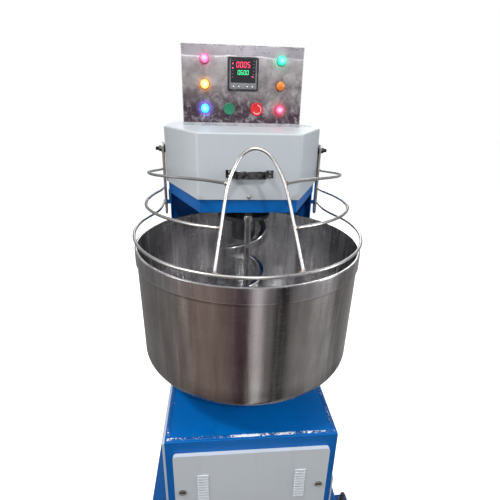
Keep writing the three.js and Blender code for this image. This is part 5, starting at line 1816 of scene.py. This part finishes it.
@dataclass
class Studio:
    """The camera, the soft lights, the pale floor and the surroundings."""

    eye: tuple = (-0.08724, -1.1423, 1.350)
    pitch: float = radians(21.3)
    yaw: float = radians(5.48)
    roll: float = radians(1.44)
    lens: float = 26.97
    lights: tuple = (SoftLight("overhead", (0.0, -0.30, 3.5), (0.0, -0.1, 1.0), (0.7, 0.7), 8.0),
        SoftLight("high_left", (-1.7, -1.0, 3.3), (0.0, -0.3, 0.6), (0.36, 0.36), 40.0, (1.0, 0.99, 0.98)),
        SoftLight("high_front", (0.12, -2.5, 2.75), (0.0, -0.1, 1.1), (0.16, 0.16), 24.0, (1.0, 0.99, 0.97)),
        SoftLight("left", (-3.0, -1.3, 1.8), (0.0, 0.0, 1.0), (1.3, 1.8), 26.0, (1.0, 0.98, 0.96)),
        SoftLight("right", (3.0, -1.1, 1.8), (0.0, -0.1, 0.9), (0.9, 1.9), 46.0, (0.95, 0.98, 1.0)),
        SoftLight("back", (0.4, 2.8, 2.6), (0.0, 0.2, 1.0), (2.2, 1.4), 36.0),)
    screens: tuple = ((-180, 0.26), (-140, 0.22), (-90, 0.25), (-62, 0.19, BROWN), (-45, 0.29, BROWN),
        (-28, 0.22, BROWN), (-17, 0.12, PLUM), (-2, 0.05, PLUM), (3, 0.85), (9, 0.85), (14, 0.20), (22, 0.19),
        (26, 0.0), (37, 0.0), (41, 0.26), (56, 0.32), (80, 0.34), (92, 0.27), (103, 0.13), (114, 0.14), (128, 0.26),
        (145, 0.40), (180, 0.26))

    def build(self) -> None:
        """Sets up the whole studio."""
        scene = bpy.context.scene
        scene.view_settings.view_transform = "Standard"
        self.camera()
        for light in self.lights:
            self.light(light)
        self.floor()
        self.surroundings()

    def camera(self) -> None:
        """The camera, with its yaw, pitch and roll."""
        data = bpy.data.cameras.new("view")
        data.lens, data.sensor_width = self.lens, 36.0
        data.clip_start, data.clip_end = 0.02, 100.0
        seen = bpy.data.objects.new("view", data)
        ahead = Vector((sin(self.yaw) * cos(self.pitch), cos(self.yaw) * cos(self.pitch), -sin(self.pitch)))
        right = Vector((cos(self.yaw), -sin(self.yaw), 0.0))
        up = right.cross(ahead)
        tilted = cos(self.roll) * right + sin(self.roll) * up
        up = cos(self.roll) * up - sin(self.roll) * right
        turn = Matrix((tilted, up, -ahead)).transposed().to_4x4()
        seen.matrix_world = moved(self.eye) @ turn
        bpy.context.scene.collection.objects.link(seen)
        bpy.context.scene.camera = seen

    def light(self, light: SoftLight) -> None:
        """One soft area light.

        Args:
            light: its place, aim, size and power.
        """
        data = bpy.data.lights.new(light.name, "AREA")
        data.shape, data.size, data.size_y = "RECTANGLE", light.size[0], light.size[1]
        data.energy, data.color = light.power, light.colour
        made = bpy.data.objects.new(light.name, data)
        made.matrix_world = moved(light.place) @ (Vector(light.aim) - Vector(light.place)).to_track_quat("-Z",
            "Y").to_matrix().to_4x4()
        bpy.context.scene.collection.objects.link(made)

    def floor(self) -> None:
        """A plain pale floor that doesn't show in the steel."""
        bm = bmesh.new()
        ops.create_circle(bm, cap_ends=True, segments=96, radius=24.0)
        mesh = bpy.data.meshes.new("floor")
        bm.to_mesh(mesh)
        bm.free()
        mesh.materials.append(StudioFloor("StudioFloor").material())
        made = bpy.data.objects.new("floor", mesh)
        made.visible_glossy = made.visible_diffuse = False
        bpy.context.scene.collection.objects.link(made)

    def surroundings(self) -> None:
        """White to the eye; for light a grey room with a pale ceiling; upright screens in what steel reflects."""
        world = bpy.data.worlds.new("surroundings")
        bpy.context.scene.world = world
        world.use_nodes = True
        wiring = Wiring(world.node_tree)
        rays = wiring.add("LightPath").outputs
        ahead = wiring.add("TexCoord").outputs["Generated"]
        x, y, z = wiring.add("SeparateXYZ", {0: ahead}).outputs
        height = wiring.span(z, -1.0, 1.0)
        room = self.ramp(wiring, height, ((0.0, (0.12, 0.11, 0.10)), (0.44, (0.20, 0.19, 0.18)),
            (0.52, (0.34, 0.34, 0.35)), (0.75, (0.42, 0.43, 0.45)), (1.0, (0.50, 0.51, 0.53))))
        around = wiring.maths("ARCTAN2", x, wiring.times(y, -1.0))
        screens = self.ramp(wiring, wiring.span(around, -pi, pi), [((angle + 180) / 360,
            shaded(tint[0] if tint else PLAIN, tone)) for angle, tone, *tint in self.screens])
        seen = wiring.mixed(wiring.span(z, -0.25, 0.20), screens, room)
        tone = wiring.mixed(rays["Is Glossy Ray"], room, seen)
        tone = wiring.mixed(rays["Is Camera Ray"], tone, (1.0, 1.0, 1.0))
        light = wiring.add("Background", {"Color": tone, "Strength": 1.0})
        wiring.add("OutputWorld", {0: light.outputs[0]})

    def ramp(self, wiring: Wiring, value: Socket, stops: Sequence[tuple[float, Colour]]) -> Socket:
        """A colour ramp.

        Args:
            wiring: the tree it goes into.
            value: what it reads, 0 to 1.
            stops: its places and colours.

        Returns:
            The colour.
        """
        node = wiring.add("ValToRGB", {0: value})
        elements = node.color_ramp.elements
        for index, (place, colour) in enumerate(stops):
            stop = elements[index] if index < 2 else elements.new(place)
            stop.position, stop.color = place, (*colour, 1.0)
        return node.outputs[0]


def main() -> None:
    """Builds the mixer, sub-assembly by sub-assembly, and its studio."""
    logging.basicConfig(level=logging.INFO, format="%(name)s %(message)s")
    for part in (Studio(), Base(), Column(), Head(), ControlBox(), Bowl(), MixingTools(), Drives(), Guard()):
        LOG.info("building %s", type(part).__name__)
        part.build()
    for name, node in frame["nodes"].items():
        if not node.hide_render:
            LOG.info("frame node %s is still shown", name)


if __name__ == "__main__":
    main()
